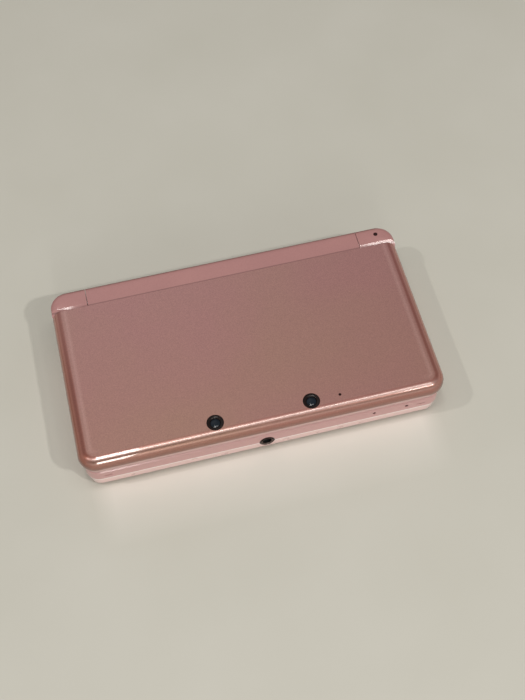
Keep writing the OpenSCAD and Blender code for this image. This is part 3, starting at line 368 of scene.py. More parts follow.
moulded("key_grey", rgb(112, 113, 117), rgb(105, 106, 110), 0.34, depth_mm=0.003, coat=0.3)
moulded("pad_grey", rgb(132, 133, 137), rgb(124, 125, 129), 0.62, 0.25, 0.015)
moulded("soft_rubber", rgb(176, 138, 136), rgb(165, 130, 128), 0.7, 0.2, 0.02)
moulded("key_sheet", rgb(205, 205, 200), rgb(195, 196, 190), 0.6)
moulded("black_plastic", rgb(30, 30, 32), rgb(24, 24, 26), 0.45, 0.15, 0.008)
moulded("ribbon", rgb(150, 92, 38), rgb(140, 80, 30), 0.3)
moulded("battery_wrap", rgb(198, 199, 202), rgb(188, 189, 193), 0.35)
moulded("circuit_board", rgb(22, 92, 60), rgb(18, 80, 52), 0.35, coat=0.4)
print("mouldings so far", sorted(finish))


# %% [markdown]
# The inner frame and the key face are satin mouldings in a deep pink, and the lower housing is paler
# and glossier. The deep pink is lighter low down, and painted shade darkens it in the seam under the
# lid and along both edges of the hinge strip. The pale housing gets an almost white painted highlight
# at its seam. Each could be a material of its own, but a band of another colour on one axis needs no
# extra pieces.

# %% Pink plastics
Y, Z = 1, 2
seam_z, inner_z, tone_edge = 6.7, 16.2, 0.15
edge_out, edge_in = 1.4, 1.7


def toned(recipe, axis, low_mm, high_mm, colour, amount=1.0, edge_only=False):
    """Blends another colour between two places on an axis, if asked only near the case's edge."""
    place = recipe.millimetres()[axis]
    share = recipe.band(place, low_mm, low_mm + tone_edge, high_mm - tone_edge, high_mm)
    if edge_only:
        near_edge = recipe.remap(rim_share(recipe)[0], edge_in, edge_out)
        share = recipe.math("MULTIPLY", share, near_edge)
    below = recipe.shader.inputs["Base Color"].links[0].from_socket
    recipe.set(Base_Color=recipe.blend(recipe.math("MULTIPLY", share, amount), below, colour))


blush = moulded("blush_plastic", rgb(170, 123, 120), rgb(165, 119, 117), 0.36, depth_mm=0.004, coat=0.5,
                coat_rough=0.12)
toned(blush, Z, 0, inner_z, rgb(200, 155, 153))
# Painted shade in the seam under the lid, near the case's edge only.
toned(blush, Z, 11.35, 12.0, rgb(104, 74, 70), 0.75, True)
# Painted shade in the groove between the cover and the hinge strip.
toned(blush, Y, 28.4, 29.1, rgb(112, 78, 74), 0.55)
# Painted shade along the back edge of the hinge strip.
toned(blush, Y, 35.9, 38.0, rgb(116, 80, 72), 0.7)
pale = moulded("pale_plastic", rgb(248, 208, 206), rgb(243, 204, 202), 0.28, depth_mm=0.0006, coat=1.0,
               coat_rough=0.06, uneven=0.25)
# Painted highlight: an almost white line along the pale housing's seam.
toned(pale, Z, seam_z - 0.75, seam_z + 0.3, rgb(255, 247, 245), 0.95)
print("pink plastics have", len(blush.tree.nodes), "and", len(pale.tree.nodes), "nodes")


# %% [markdown]
# Black glass-like panels are nearly black with a polished face, so nearly all that shows is what
# they reflect. Very light wipe marks in the gloss and a faint waviness keep them from looking like a
# hole. Behind a panel a display shows as a slightly different field, drawn in millimetres.

# %% Black panels, lenses and displays
wipe_mm, wipe_range = 9, (0.45, 0.75)
wave_mm, wave_depth_mm, wave_strength = 11, 0.02, 0.2


def polished(slot, colour, roughness=0.06, mark=0.05, shine=0.5):
    """A polished face with faint wipe marks. Mark is how much rougher they are."""
    recipe = Recipe(slot)
    marks = recipe.remap(recipe.noise(wipe_mm, 6, 5.0), *wipe_range, roughness, roughness + mark)
    recipe.set(Base_Color=colour, Roughness=marks, Specular_IOR_Level=shine)
    recipe.bump(recipe.noise(wave_mm, 2, 6.0), wave_depth_mm, wave_strength)
    finish[slot] = recipe.material
    return recipe


def with_view(recipe, middle_y, width, depth, colour, edge=0.25):
    """Shows a display's field, in millimetres, as a slightly different tone behind a panel."""
    across, along, _ = recipe.millimetres()
    side = recipe.remap(recipe.math("ABSOLUTE", across), width / 2 - edge, width / 2, 1, 0)
    off = recipe.math("ABSOLUTE", recipe.math("SUBTRACT", along, middle_y))
    field = recipe.math("MULTIPLY", side, recipe.remap(off, depth / 2 - edge, depth / 2, 1, 0))
    rim = recipe.shader.inputs["Base Color"].default_value[:]
    recipe.set(Base_Color=recipe.blend(field, rim, colour))


with_view(polished("black_gloss", rgb(12, 12, 14)), -3.3, 76.8, 46.1, rgb(34, 38, 44))
with_view(polished("display_glass", rgb(16, 16, 18), 0.12, 0.06), 0.8, 61.2, 45.9, rgb(46, 49, 54))
for slot, colour, *gloss in (
    ("lens_ring", rgb(24, 14, 12), 0.2, 0.05, 0.3),
    ("socket_brown", rgb(52, 33, 29), 0.25, 0.05, 0.4),
    ("lens_glass", rgb(24, 32, 40), 0.06, 0.02, 0.3),
    ("display", rgb(34, 36, 40), 0.2),
    ("dark_red_lens", rgb(42, 10, 8), 0.12),
):
    polished(slot, colour, *gloss)
print("finishes so far", len(finish))


# %% [markdown]
# Stamped and turned metal shows fine lines along one direction. They could be an anisotropic
# reflection, but noise that a Mapping node stretches gives lines that show close up too.

# %% Metals
line_stretch, line_scale, line_depth_mm = (1, 12, 12), 900.0, 0.003
finer, rougher = 0.06, 0.08


def metal(slot, colour, roughness):
    """Bare metal whose gloss varies in fine lines along X."""
    recipe = Recipe(slot)
    mapping = recipe.add("ShaderNodeMapping", Vector=recipe.place, Scale=line_stretch)
    lines = recipe.add("ShaderNodeTexNoise", Vector=mapping.outputs["Vector"], Scale=line_scale, Detail=3.0)
    rough = recipe.remap(lines.outputs["Fac"], 0.3, 0.7, roughness - finer, roughness + rougher)
    recipe.set(Base_Color=colour, Metallic=1.0, Roughness=rough)
    recipe.bump(lines.outputs["Fac"], line_depth_mm)
    finish[slot] = recipe.material


metal("steel", rgb(196, 197, 200), 0.28)
metal("contact_gold", rgb(222, 186, 104), 0.22)
metal("dark_steel", rgb(122, 108, 104), 0.4)
print("finishes in all", sorted(finish))

# %% [markdown]
# Every CAD piece knows the slot that its finish comes from, so a short loop puts the materials on. It
# saves choosing sixty of them by hand, and a piece without a finish would stop the script here.

# %% Finishes on the CAD pieces
for node, piece in nodes.items():
    piece.data.materials.clear()
    piece.data.materials.append(finish[slot_of_node[node]])
print("slots in use", len(set(slot_of_node.values())), "on", len(nodes), "pieces")

# %% [markdown]
# The finer pieces further down need the same few steps: smooth shading that keeps its crisp edges, a
# place in the scene on one of the bodies, and a plain mesh once the modifiers have done their work.

# %% Shade, link and bake
smooth_angle = math.radians(32)


def shade(mesh):
    """Smooth shading, with an edge kept crisp where its faces meet at more than smooth_angle."""
    work = bmesh.new()
    work.from_mesh(mesh)
    for face in work.faces:
        face.smooth = True
    for edge in work.edges:
        edge.smooth = len(edge.link_faces) == 2 and edge.calc_face_angle(0) < smooth_angle
    work.to_mesh(mesh)
    work.free()


def in_scene(name, data):
    piece = bpy.data.objects.new(name, data)
    bpy.context.scene.collection.objects.link(piece)
    return piece


def link(name, mesh, material, body):
    """A finished piece with the given material, which rides on a body."""
    piece = in_scene(name, mesh)
    mesh.materials.clear()
    mesh.materials.append(finish[material])
    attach(piece, body)
    return piece


def baked(piece):
    """The piece's mesh with its modifiers applied."""
    evaluated = piece.evaluated_get(bpy.context.evaluated_depsgraph_get())
    return bpy.data.meshes.new_from_object(evaluated)


print("edges stay crisp over", round(math.degrees(smooth_angle)), "degrees")


# %% [markdown]
# A moulded edge is never perfectly sharp: a tiny round catches a line of light. The rounds could be
# faked with a Bevel node in the materials, but then the export would lose them. So each piece that
# shows is copied, its loose triangles are merged into whole flat faces, and a Bevel modifier rounds
# the edges that turn by more than thirty-five degrees. Weighted normals keep the flats truly flat.

# %% Soft-edged copies
bevel_angle, flat_angle, merge_m, flat_weight = math.radians(35), math.radians(0.3), 0.5e-6, 100


def rounded(mesh, round_mm, segments=2):
    """The mesh with its sharp edges rounded, and its large flat faces shaded truly flat."""
    piece = in_scene("work", mesh)
    bevel = piece.modifiers.new("round", "BEVEL")
    bevel.width = round_mm * MM
    bevel.segments = segments
    bevel.limit_method = "ANGLE"
    bevel.angle_limit = bevel_angle
    piece.data = baked(piece)
    piece.modifiers.clear()
    shade(piece.data)
    flat = piece.modifiers.new("flat", "WEIGHTED_NORMAL")
    flat.keep_sharp = True
    flat.weight = flat_weight
    result = baked(piece)
    bpy.data.objects.remove(piece)
    return result


def merged_copy(node):
    """The CAD node's mesh with its triangles joined, and its flat faces made whole."""
    work = bmesh.new()
    work.from_mesh(nodes[node].data)
    bmesh.ops.remove_doubles(work, verts=work.verts, dist=merge_m)
    bmesh.ops.dissolve_limit(work, angle_limit=flat_angle, verts=work.verts, edges=work.edges)
    mesh = bpy.data.meshes.new(node + "_soft")
    work.to_mesh(mesh)
    work.free()
    return mesh


def soften(node, round_mm, segments):
    """Puts a copy with rounded edges in a CAD node's place."""
    mesh = rounded(merged_copy(node), round_mm, segments)
    piece = link(node + "_soft", mesh, slot_of_node[node], body_of_node[node])
    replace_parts(piece, node)
    return piece


print("edges are rounded over", round(math.degrees(bevel_angle)), "degrees")

# %% [markdown]
# Each group of pieces has its own round: the thin frames a very small one, the housing's outer edges a
# little more, and the parts that fingers touch a fuller one in three steps.

# %% Rounded pieces
rounds = [
    (0.12, 2, ("lid_frame", "base_face", "bottom_cover", "sd_door", "upper_window")),
    (0.22, 2, ("base_tub", "rear_panel")),
    (0.18, 3, ("shoulder_left", "shoulder_right", "volume_slider", "wireless_switch", "depth_slider")),
    (0.20, 3, ("d_pad",)),
    (0.15, 3, ("select_button", "home_button", "start_button", "power_button", "circle_pad",
               "button_right", "button_bottom", "button_top", "button_left")),
]
softened = [soften(node, round_mm, segments) for round_mm, segments, group in rounds for node in group]
print("rounded", len(softened), "pieces,", sum(len(piece.data.polygons) for piece in softened), "faces")


# %% [markdown]
# Shapes that follow a rule, and parts that stand in rows, are made by geometry nodes. A tree is given
# its sizes as named inputs, so the same tree could serve another size. It ends in Realize Instances and
# Set Material, and its result is kept as a plain mesh, because copies that are only instances would
# be left out of the exported model.

# %% Shape helper
class Shape(Graph):
    """A geometry-nodes tree with named inputs."""

    sockets = {int: "NodeSocketInt", float: "NodeSocketFloat", Vector: "NodeSocketVector",
               bpy.types.Object: "NodeSocketObject", bpy.types.Material: "NodeSocketMaterial"}

    def __init__(self, name, **values):
        super().__init__(bpy.data.node_groups.new(name, "GeometryNodeTree"))
        face = self.tree.interface
        self.values = {}
        for key, value in values.items():
            kind = self.sockets[type(value)]
            socket = face.new_socket(key, in_out="INPUT", socket_type=kind)
            self.values[socket.identifier] = value
        face.new_socket("Geometry", in_out="OUTPUT", socket_type="NodeSocketGeometry")
        self.given = self.add("NodeGroupInput").outputs

    def grow(self, geometry):
        """Ends the tree, runs it, and gives the result as a plain mesh."""
        real = self.add("GeometryNodeRealizeInstances", Geometry=geometry)
        painted = self.add("GeometryNodeSetMaterial", Geometry=real.outputs["Geometry"],
                           Material=self.given["Finish"])
        self.feed(self.add("NodeGroupOutput").inputs[0], painted.outputs["Geometry"])
        holder = in_scene(self.tree.name, bpy.data.meshes.new(self.tree.name))
        modifier = holder.modifiers.new("shape", "NODES")
        modifier.node_group = self.tree
        for identifier, value in self.values.items():
            modifier[identifier] = value
        mesh = baked(holder)
        bpy.data.objects.remove(holder)
        return mesh


print("a tree's inputs can be", [kind.__name__ for kind in Shape.sockets])

# %% [markdown]
# The lid cover is the piece that everyone looks at, so it gets a mesh of its own. Its outline is a
# rounded rectangle, and its rim is a superellipse, which is flat on top, turns in a tight curve and
# falls steeply to the widest line. It could be sculpted or bevelled, but a rule gives an even curve.
# The tree starts from a plain cylinder and moves each point to its place. Which point it is on its
# ring gives the turn round a corner, and which ring it is on gives the place on the rim's curve.

# %% Lid cover's rules
rim_power = 2.4
steps, lip_rings, rim_rings = 14, 3, 22
points, rings = 4 * (steps + 1), lip_rings + rim_rings


def corner_turns(cover, x, y):
    """Each point's turn, with the steps shared out evenly over four corners, and its corner's middle."""
    m, per_corner = cover.math, float(steps + 1)
    number = m("ROUND", m("MULTIPLY", m("ARCTAN2", y, x), points / math.tau))
    number = m("FLOORED_MODULO", number, float(points))
    quarter = m("FLOOR", m("DIVIDE", m("ADD", number, 0.5), per_corner))
    step = m("SUBTRACT", number, m("MULTIPLY", quarter, per_corner))
    turn = m("MULTIPLY", m("ADD", quarter, m("DIVIDE", step, float(steps))), math.pi / 2)
    return turn, m("MULTIPLY", m("ADD", quarter, 0.5), math.pi / 2)


def rim_curve(cover, z):
    """How far in and how far up the rim a ring lies, and how far under the widest line, from 0 to 1."""
    m = cover.math
    ring = m("SUBTRACT", m("MULTIPLY", m("ADD", z, 0.5), float(rings)), float(lip_rings))
    up = m("DIVIDE", ring, float(rim_rings))
    rim_turn = m("MULTIPLY", m("MAXIMUM", up, 0.0), math.pi / 2)
    exponent = m("DIVIDE", 2.0, cover.given["Power"])
    inward = m("SUBTRACT", 1.0, m("POWER", m("MAXIMUM", m("COSINE", rim_turn), 0.0), exponent))
    upward = m("POWER", m("SINE", rim_turn), exponent)
    under = m("MINIMUM", m("MAXIMUM", m("MULTIPLY", up, -rim_rings / lip_rings), 0.0), 1.0)
    return inward, upward, under


print("the cover has", rings + 1, "rings of", points, "points")

# %% [markdown]
# The same tree makes two solids. One is the cover's outside. The other is smaller and lower, and
# becomes the hollow inside it, which leaves the cover about a millimetre and a half thick on top. A
# Solidify modifier could give a wall too, but not one that ends flat inside as the moulding's does.

# %% Lid cover's outside and hollow
smallest_corner = 0.3


def cover_solid(name, low, widest, top, sides, front, lip):
    """A closed solid with a superellipse rim above its widest height and a small lip below it."""
    cover = Shape(name, Width=case_w * MM, Depth=case_d * MM, Corner=corner_r * MM, Low=low * MM,
                  Widest=widest * MM, Top=top * MM, Side_rim=sides * MM, Front_rim=front * MM,
                  Lip=lip * MM, Power=rim_power, Finish=finish["pearl_cover"])
    g, m = cover.given, cover.math
    can = cover.add("GeometryNodeMeshCylinder", Vertices=points, Side_Segments=rings, Radius=1.0, Depth=1.0)
    x, y, z = cover.axes(cover.add("GeometryNodeInputPosition").outputs[0])
    turn, middle_turn = corner_turns(cover, x, y)
    inward, upward, under = rim_curve(cover, z)
    lip_in = m("MULTIPLY", m("MULTIPLY", under, under), g["Lip"])
    height = m("ADD", g["Widest"], m("MULTIPLY", upward, m("SUBTRACT", g["Top"], g["Widest"])))
    height = m("SUBTRACT", height, m("MULTIPLY", under, m("SUBTRACT", g["Widest"], g["Low"])))
    place = []
    for length, rim, swing in (("Width", "Side_rim", "COSINE"), ("Depth", "Front_rim", "SINE")):
        inset = m("ADD", lip_in, m("MULTIPLY", inward, g[rim]))
        radius = m("MAXIMUM", m("SUBTRACT", g["Corner"], inset), smallest_corner * MM)
        reach = m("SUBTRACT", m("MULTIPLY", g[length], 0.5), g["Corner"])
        centre = m("MULTIPLY", m("SIGN", m(swing, middle_turn)), reach)
        place.append(m("ADD", centre, m("MULTIPLY", radius, m(swing, turn))))
    point = cover.add("ShaderNodeCombineXYZ", X=place[0], Y=place[1], Z=height)
    moved = cover.add("GeometryNodeSetPosition", Geometry=can.outputs["Mesh"], Position=point.outputs[0])
    return cover.grow(moved.outputs["Geometry"])


outside_lip, inside_top, inside_rim = 0.35, 19.6, 3.2
solid = cover_solid("cover", cover_low, rim_low, top_z / MM, 4.5, 3.9, outside_lip)
hollow = cover_solid("hollow", cover_low - 1, cover_low - 0.9, inside_top, inside_rim, inside_rim,
                     inside_rim)
print("the outside has", len(solid.vertices), "points and the hollow", len(hollow.vertices))

# %% [markdown]
# The mould cuts the cover's hollow, its back edge, the sweep of the hinge barrel and the camera holes.
# Booleans do the same here, with plain drums and bricks as cutters that are thrown away afterwards.

# %% Cutters
drum_sides = 96


def kept_mesh(name, work):
    """The mesh that a bmesh holds, which is then freed."""
    mesh = bpy.data.meshes.new(name)
    work.to_mesh(mesh)
    work.free()
    return mesh


def drum(name, radius, middle, length, turn=None):
    """A cylinder for cutting, in millimetres. It stands on Z unless it is turned."""
    work = bmesh.new()
    bmesh.ops.create_cone(work, cap_ends=True, segments=drum_sides, radius1=radius * MM,
                          radius2=radius * MM, depth=length * MM)
    if turn:
        bmesh.ops.transform(work, matrix=turn, verts=work.verts)
    bmesh.ops.translate(work, vec=Vector(middle) * MM, verts=work.verts)
    return kept_mesh(name, work)


def brick(name, a, b):
    """A box for cutting, between two corners in millimetres."""
    work = bmesh.new()
    bmesh.ops.create_cube(work, size=1)
    size = [hi - lo for lo, hi in zip(a, b)]
    middle = Vector([(lo + hi) / 2 for lo, hi in zip(a, b)])
    bmesh.ops.scale(work, vec=Vector(size) * MM, verts=work.verts)
    bmesh.ops.translate(work, vec=middle * MM, verts=work.verts)
    return kept_mesh(name, work)


def cut(mesh, cutters):
    """Takes each cutter's volume out of the mesh."""
    piece = in_scene("work", mesh)
    tools = []
    for cutter in cutters:
        tool = in_scene("cutter", cutter)
        tools.append(tool)
        boolean = piece.modifiers.new("cut", "BOOLEAN")
        boolean.operation = "DIFFERENCE"
        boolean.solver = "EXACT"
        boolean.object = tool
    result = baked(piece)
    for extra in [piece, *tools]:
        bpy.data.objects.remove(extra)
    return result


print("a drum has", drum_sides, "sides")

# %% [markdown]
# The cover ends just in front of the hinge, where a wall closes its hollow and a trough keeps clear of
# the barrel's sweep. Each camera has a wide shallow seat for its ring and a deeper hole for its
# barrel, and beside the right one is the tiny hole of the camera light.

# %% Lid cover
hinge_y, hinge_z, sweep_r, sweep_length = 32.6, 16.4, 6.13, 200
lid_back, back_groove, back_wall = 28.548, 0.12, 4.6
past_side, past_back, past_top = 80, 60, 30
camera_spots = [(-17.5, -31.0), (17.5, -31.0)]
light_spot = (28.0, -31.0)
seat_r, seat_z, seat_depth = 3.1, 20.5, 1.1
hole_r, hole_z, hole_depth = 2.5, 19.0, 4
light_r, light_z, light_depth = 0.55, 20, 6
cover_round = 0.09


def behind(name, y):
    """A brick that covers everything behind y."""
    return brick(name, (-past_side, y, 0), (past_side, past_back, past_top))


along_x = Matrix.Rotation(math.radians(90), 4, "Y")
hollow = cut(hollow, [behind("keep", lid_back - back_wall)])
cutters = [hollow, behind("back", lid_back - back_groove)]
cutters.append(drum("sweep", sweep_r, (0, hinge_y, hinge_z), sweep_length, along_x))
cutters += [drum("camera_hole", seat_r, (x, y, seat_z), seat_depth) for x, y in camera_spots]
cutters += [drum("barrel_hole", hole_r, (x, y, hole_z), hole_depth) for x, y in camera_spots]
cutters.append(drum("light_hole", light_r, (*light_spot, light_z), light_depth))
cover = link("lid_cover_lacquer", rounded(cut(solid, cutters), cover_round, 3), "pearl_cover", "lid")
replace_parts(cover, "lid_cover")
print("lid cover faces", len(cover.data.polygons))

# %% [markdown]
# Camera rings, lenses, feet and screws are round. They could be cylinders with bevels, but real ones
# are turned or moulded to a profile, so they are made as lathe work: a row of radii and heights goes
# round the Z axis, and faces join one ring of points to the next.

# %% Lathe
on_axis_mm, lathe_sides = 1e-6, 64


def lathe(name, profile):
    """A closed turned mesh. The profile starts and ends on the axis, or closes on itself."""
    work = bmesh.new()
    loops = []
    for radius, height in profile:
        count = lathe_sides if radius > on_axis_mm else 1
        turns = [2 * math.pi * step / count for step in range(count)]
        loops.append([work.verts.new(Vector((radius * math.cos(t), radius * math.sin(t), height)) * MM)
                      for t in turns])
    if profile[0][0] > on_axis_mm:
        loops.append(loops[0])
    for below, above in zip(loops, loops[1:]):
        for i in range(lathe_sides):
            corners = [below[i % len(below)], below[(i + 1) % len(below)],
                       above[(i + 1) % len(above)], above[i % len(above)]]
            work.faces.new(list(dict.fromkeys(corners)))
    bmesh.ops.recalc_face_normals(work, faces=work.faces)
    mesh = kept_mesh(name, work)
    shade(mesh)
    return mesh


print("turned pieces have", lathe_sides, "sides")

# %% [markdown]
# Cameras, feet, bumpers, screws and contacts come in rows. Copying them by hand would leave as many
# meshes to keep alike. A geometry-nodes tree sets one unit on every point of a grid instead.

# %% Grid of one unit
def grid_of(name, unit, counts, size, middle, material, body):
    """The unit mesh on every point of a grid, as one plain mesh. The middle is in millimetres."""
    source = in_scene(name + "_unit", unit)
    rows = Shape(name, Unit=source, Columns=counts[0], Rows=counts[1], Width=size[0] * MM,
                 Depth=size[1] * MM, Middle=Vector(middle) * MM, Finish=finish[material])
    grid = rows.add("GeometryNodeMeshGrid", Vertices_X=rows.given["Columns"], Vertices_Y=rows.given["Rows"],
                    Size_X=rows.given["Width"], Size_Y=rows.given["Depth"])
    placed = rows.add("GeometryNodeTransform", Geometry=grid.outputs["Mesh"],
                      Translation=rows.given["Middle"])
    unit_shape = rows.add("GeometryNodeObjectInfo", Object=rows.given["Unit"])
    copies = rows.add("GeometryNodeInstanceOnPoints", Points=placed.outputs["Geometry"],
                      Instance=unit_shape.outputs["Geometry"])
    mesh = rows.grow(copies.outputs["Instances"])
    bpy.data.objects.remove(source)
    print(name, "is", counts[0] * counts[1], "units,", len(mesh.polygons), "faces")
    return link(name, mesh, material, body)


# %% [markdown]
# Each outer camera has a black bevelled ring, which stays a hair below the cover's top, with a small
# coated lens sunk in it. The rings take the place of the plain windows of the CAD model.

# %% Camera rings and lenses
camera_middle = (0, camera_spots[0][1], 0)
camera_pitch = camera_spots[1][0] - camera_spots[0][0]
ring = lathe("camera_ring", [(1.75, 20.0), (3.07, 20.0), (3.07, 20.87), (2.99, 20.95), (2.1, 20.95),
                             (1.98, 20.88), (1.75, 20.5)])
rings_piece = grid_of("camera_rings", ring, (2, 1), (camera_pitch, 0), camera_middle, "lens_ring", "lid")
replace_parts(rings_piece, "camera_windows")
lens = lathe("camera_lens", [(0, 20.02), (1.74, 20.02), (1.74, 20.42), (1.3, 20.6), (0.7, 20.7),
                             (0, 20.73)])
grid_of("camera_lenses", lens, (2, 1), (camera_pitch, 0), camera_middle, "lens_glass", "lid")
print("cameras are", camera_pitch, "mm apart")

# %% [markdown]
# The headphone socket's mouth has a thin brown collar with a metal liner inside it. Both are turned
# upright on the Z axis, and then laid over so that they face the front.

# %% Headphone socket's mouth
mouth_place = Vector((0, -35.23, 6.5)) * MM
to_front = Matrix.Translation(mouth_place) @ Matrix.Rotation(math.radians(90), 4, "X")
for name, material, slot, profile in (
    ("headphone_ring", "socket_brown", "black_plastic",
     [(1.98, 0), (2.22, 0), (2.22, 0.5), (2.42, 0.53), (2.42, 0.6), (2.34, 0.64), (2.1, 0.62), (1.98, 0.5)]),
    ("headphone_liner", "dark_steel", "steel",
     [(1.76, 0), (1.97, 0), (1.97, 0.44), (1.9, 0.48), (1.76, 0.36)]),
):
    mouth_piece = lathe(name, profile)
    mouth_piece.transform(to_front)
    link(name, mouth_piece, material, "base")
    print(name, "is", 2 * max(radius for radius, height in profile), "mm across")

# %% [markdown]
# Four rubber feet and four soft bumpers have moulded profiles with rounded edges. Their places come
# from the boxes of the CAD nodes that they replace, so they sit exactly where those do.

# %% Feet and bumpers
foot_r, bumper_r = 3.5, 2.15


def spots(node, radius):
    """A four-part node's grid size and middle, and its lowest and highest Z, in millimetres."""
    a, b = (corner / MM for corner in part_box(node))
    return (b.x - a.x - 2 * radius, b.y - a.y - 2 * radius), ((a.x + b.x) / 2, (a.y + b.y) / 2, 0), a.z, b.z


size, middle, z0, z1 = spots("rubber_feet", foot_r)
foot = lathe("foot", [(0, z0 + 0.02), (1.6, z0), (2.9, z0), (3.25, z0 + 0.05), (3.44, z0 + 0.2),
                      (foot_r, z0 + 0.4), (foot_r, z1), (0, z1)])
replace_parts(grid_of("feet", foot, (2, 2), size, middle, "soft_rubber", "base"), "rubber_feet")
print("feet stand", [round(length, 1) for length in size], "mm apart")
size, middle, z0, z1 = spots("lid_bumpers", bumper_r)
bumper = lathe("bumper", [(0, z0), (1.5, z0), (1.95, z0 + 0.1), (bumper_r, z0 + 0.35), (bumper_r, z1),
                          (0, z1)])
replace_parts(grid_of("bumpers", bumper, (2, 2), size, middle, "soft_rubber", "lid"), "lid_bumpers")
print("bumpers stand", [round(length, 1) for length in size], "mm apart")

# %% [markdown]
# The bottom cover's two screws are turned with their shanks, and then two bricks cut the cross in the
# head, as the header's punch does.

# %% Cover screws
screw_r, shank_r, tip_r, tip_length = 2.0, 0.9, 0.5, 0.5
head_height, slot_reach, slot_half, slot_depth = 0.63, 1.2, 0.2, 0.38
size, middle, z0, z1 = spots("cover_screws", screw_r)
head = lathe("screw", [(0, z0), (1.4, z0), (1.86, z0 + 0.08), (screw_r, z0 + 0.25),
                       (screw_r, z0 + head_height), (shank_r, z0 + head_height),
                       (shank_r, z1 - tip_length), (tip_r, z1), (0, z1)])
cross = [brick("recess", (-a, -b, z0 - 1), (a, b, z0 + slot_depth))
         for a, b in ((slot_reach, slot_half), (slot_half, slot_reach))]
head = cut(head, cross)
shade(head)
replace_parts(grid_of("screws", head, (2, 1), (size[0], 0), middle, "steel", "base"), "cover_screws")
print("screws are", round(z1 - z0, 1), "mm long")

# %% [markdown]
# Seventeen flat contacts lie in a row in the game card slot. They are simple bricks, because only
# their tips can be seen, deep in the opening.

# %% Card slot contacts
pin_count, pin_span, pin_half, pin_length = 17, 30.4, 0.35, 3.2
card_low, card_high = (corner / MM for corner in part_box("card_slot"))
pin = brick("pin", (-pin_half, 0, -0.17), (pin_half, pin_length, -0.02))
card_middle = ((card_low.x + card_high.x) / 2, card_low.y + 0.6, card_high.z - 0.3)
grid_of("card_pins", pin, (pin_count, 1), (pin_span, 0), card_middle, "contact_gold", "base")
print("contacts are", round(pin_span / (pin_count - 1), 1), "mm apart")

# %% [markdown]
# The console lies on a pale, faintly glossy table. One large square is enough, because its finish
# carries the rest: a slow mottle, and a paler band in front, where the glossy housing throws light on
# the table.

# %% Floor
half_floor, mottle_mm, thrown_amount = 3.0, 60, 0.4
floor_mesh = bpy.data.meshes.new("floor")
corners = [(x * half_floor, y * half_floor, 0) for x, y in ((-1, -1), (1, -1), (1, 1), (-1, 1))]
floor_mesh.from_pydata(corners, [], [(0, 1, 2, 3)])
floor = in_scene("floor", floor_mesh)

table = Recipe("table")
mottle = table.remap(table.noise(mottle_mm, 3, 9.0), 0.3, 0.7)
table_tint = table.blend(mottle, rgb(190, 189, 179), rgb(195, 194, 185))
across, along, _ = table.millimetres()
thrown = table.remap(table.math("ABSOLUTE", across), 66, 58)
thrown = table.math("MULTIPLY", thrown, table.band(along, -60, -38, -37, -35))
thrown = table.math("MULTIPLY", thrown, thrown_amount)
table.set(
    Base_Color=table.blend(thrown, table_tint, rgb(234, 231, 225)),
    Roughness=0.5,
    Specular_IOR_Level=0.3,
)
floor_mesh.materials.append(table.material)
print("the floor is", 2 * half_floor, "m wide")

# %% [markdown]
# Six plain area lamps light the scene. A small one far out on each side throws the two faint shadows.
# One gives the glint on the right of the hinge, and a long narrow one the bright streak at the front
# left corner. A wide one above evens out the level, and a long one in front draws a line of light
# along the housing. A sun or a ready-made sky would be quicker, but would give one hard shadow.

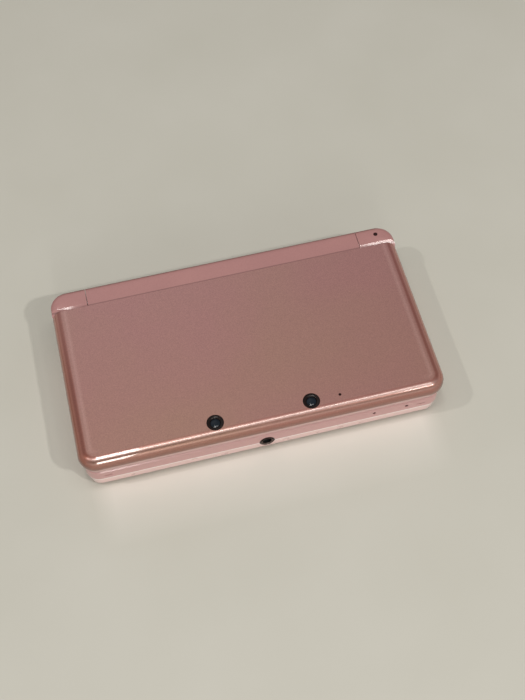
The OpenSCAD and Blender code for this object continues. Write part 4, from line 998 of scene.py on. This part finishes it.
# %% Lamps
warm_white = (1.0, 0.97, 0.93)
lamps = {
    "lamp_left": ((-0.614, -0.045, 0.92), (0, 0, 0), (0.03, 0.03), 1.7),
    "lamp_right": ((0.442, -0.58, 0.86), (0, 0, 0), (0.04, 0.04), 3.2),
    "lamp_glint": ((0.352, -0.718, 1.045), (0.06, 0.03, 0.02), (0.06, 0.06), 0.46),
    "lamp_corner": ((-0.1, -0.09, 1.17), (-0.1, 0, 0.02), (0.07, 0.5), 1.75),
    "lamp_over": ((0.02, -0.17, 1.20), (0, 0, 0), (0.9, 0.12), 2.9),
    "lamp_front": ((-0.12, -1.35, 0.66), (0, 0, 0), (0.075, 0.6), 2.5),
}
for name, (place, aim, size, power) in lamps.items():
    data = bpy.data.lights.new(name, "AREA")
    data.shape = "RECTANGLE"
    data.size, data.size_y = size
    data.energy = power
    data.color = warm_white
    piece = in_scene(name, data)
    piece.location = place
    piece.rotation_euler = (Vector(aim) - Vector(place)).to_track_quat("-Z", "Y").to_euler()
print("lamps", len(lamps), "with", round(sum(row[3] for row in lamps.values()), 2), "watts in all")

# %% [markdown]
# A glossy object shows the room that it stands in. An image of a room could fill the world, but a few
# soft glows by direction are enough: a ramp from floor to ceiling, a bright window low in front, a
# glow at the back left and a dim one on each side. The camera itself sees only a plain pale backdrop.

# %% World
world = bpy.data.worlds.new("room")
bpy.context.scene.world = world
world.use_nodes = True
room = Graph(world.node_tree)
x, y, z = room.axes(room.add("ShaderNodeTexCoord").outputs["Generated"])
room_stops = [(0.0, (0.2, 0.185, 0.17, 1)), (0.15, (0.115, 0.105, 0.095, 1)), (0.45, (0.115, 0.105, 0.1, 1)),
              (0.7, (0.22, 0.21, 0.2, 1)), (1.0, (0.275, 0.265, 0.25, 1))]
light = room.ramp(z, room_stops)
glows = [
    ((1.1, 1.06, 1.0, 1), [(y, -0.3, -0.8), (z, 0.0, 0.12), (z, 0.55, 0.32)]),
    ((0.65, 0.63, 0.63, 1), [(x, 0.32, 0.05), (y, 0.25, 0.62), (z, 0.5, 0.75)]),
    ((0.5, 0.47, 0.45, 1), [(room.math("ABSOLUTE", x), 0.45, 0.75), (z, 0.12, 0.3), (z, 0.66, 0.5)]),
]
for colour, limits in glows:
    where = room.remap(*limits[0])
    for limit in limits[1:]:
        where = room.math("MULTIPLY", where, room.remap(*limit))
    light = room.blend(where, light, colour)
lit = room.tree.nodes["Background"]
room.feed(lit.inputs["Color"], light)
backdrop = room.add("ShaderNodeBackground", Color=rgb(205, 201, 190))
seen = room.add("ShaderNodeLightPath").outputs["Is Camera Ray"]
choose = room.add("ShaderNodeMixShader")
for socket, value in zip(choose.inputs, (seen, lit.outputs[0], backdrop.outputs[0])):
    room.feed(socket, value)
room.feed(room.tree.nodes["World Output"].inputs["Surface"], choose.outputs[0])
print("the room has", len(glows), "glows")

# %% [markdown]
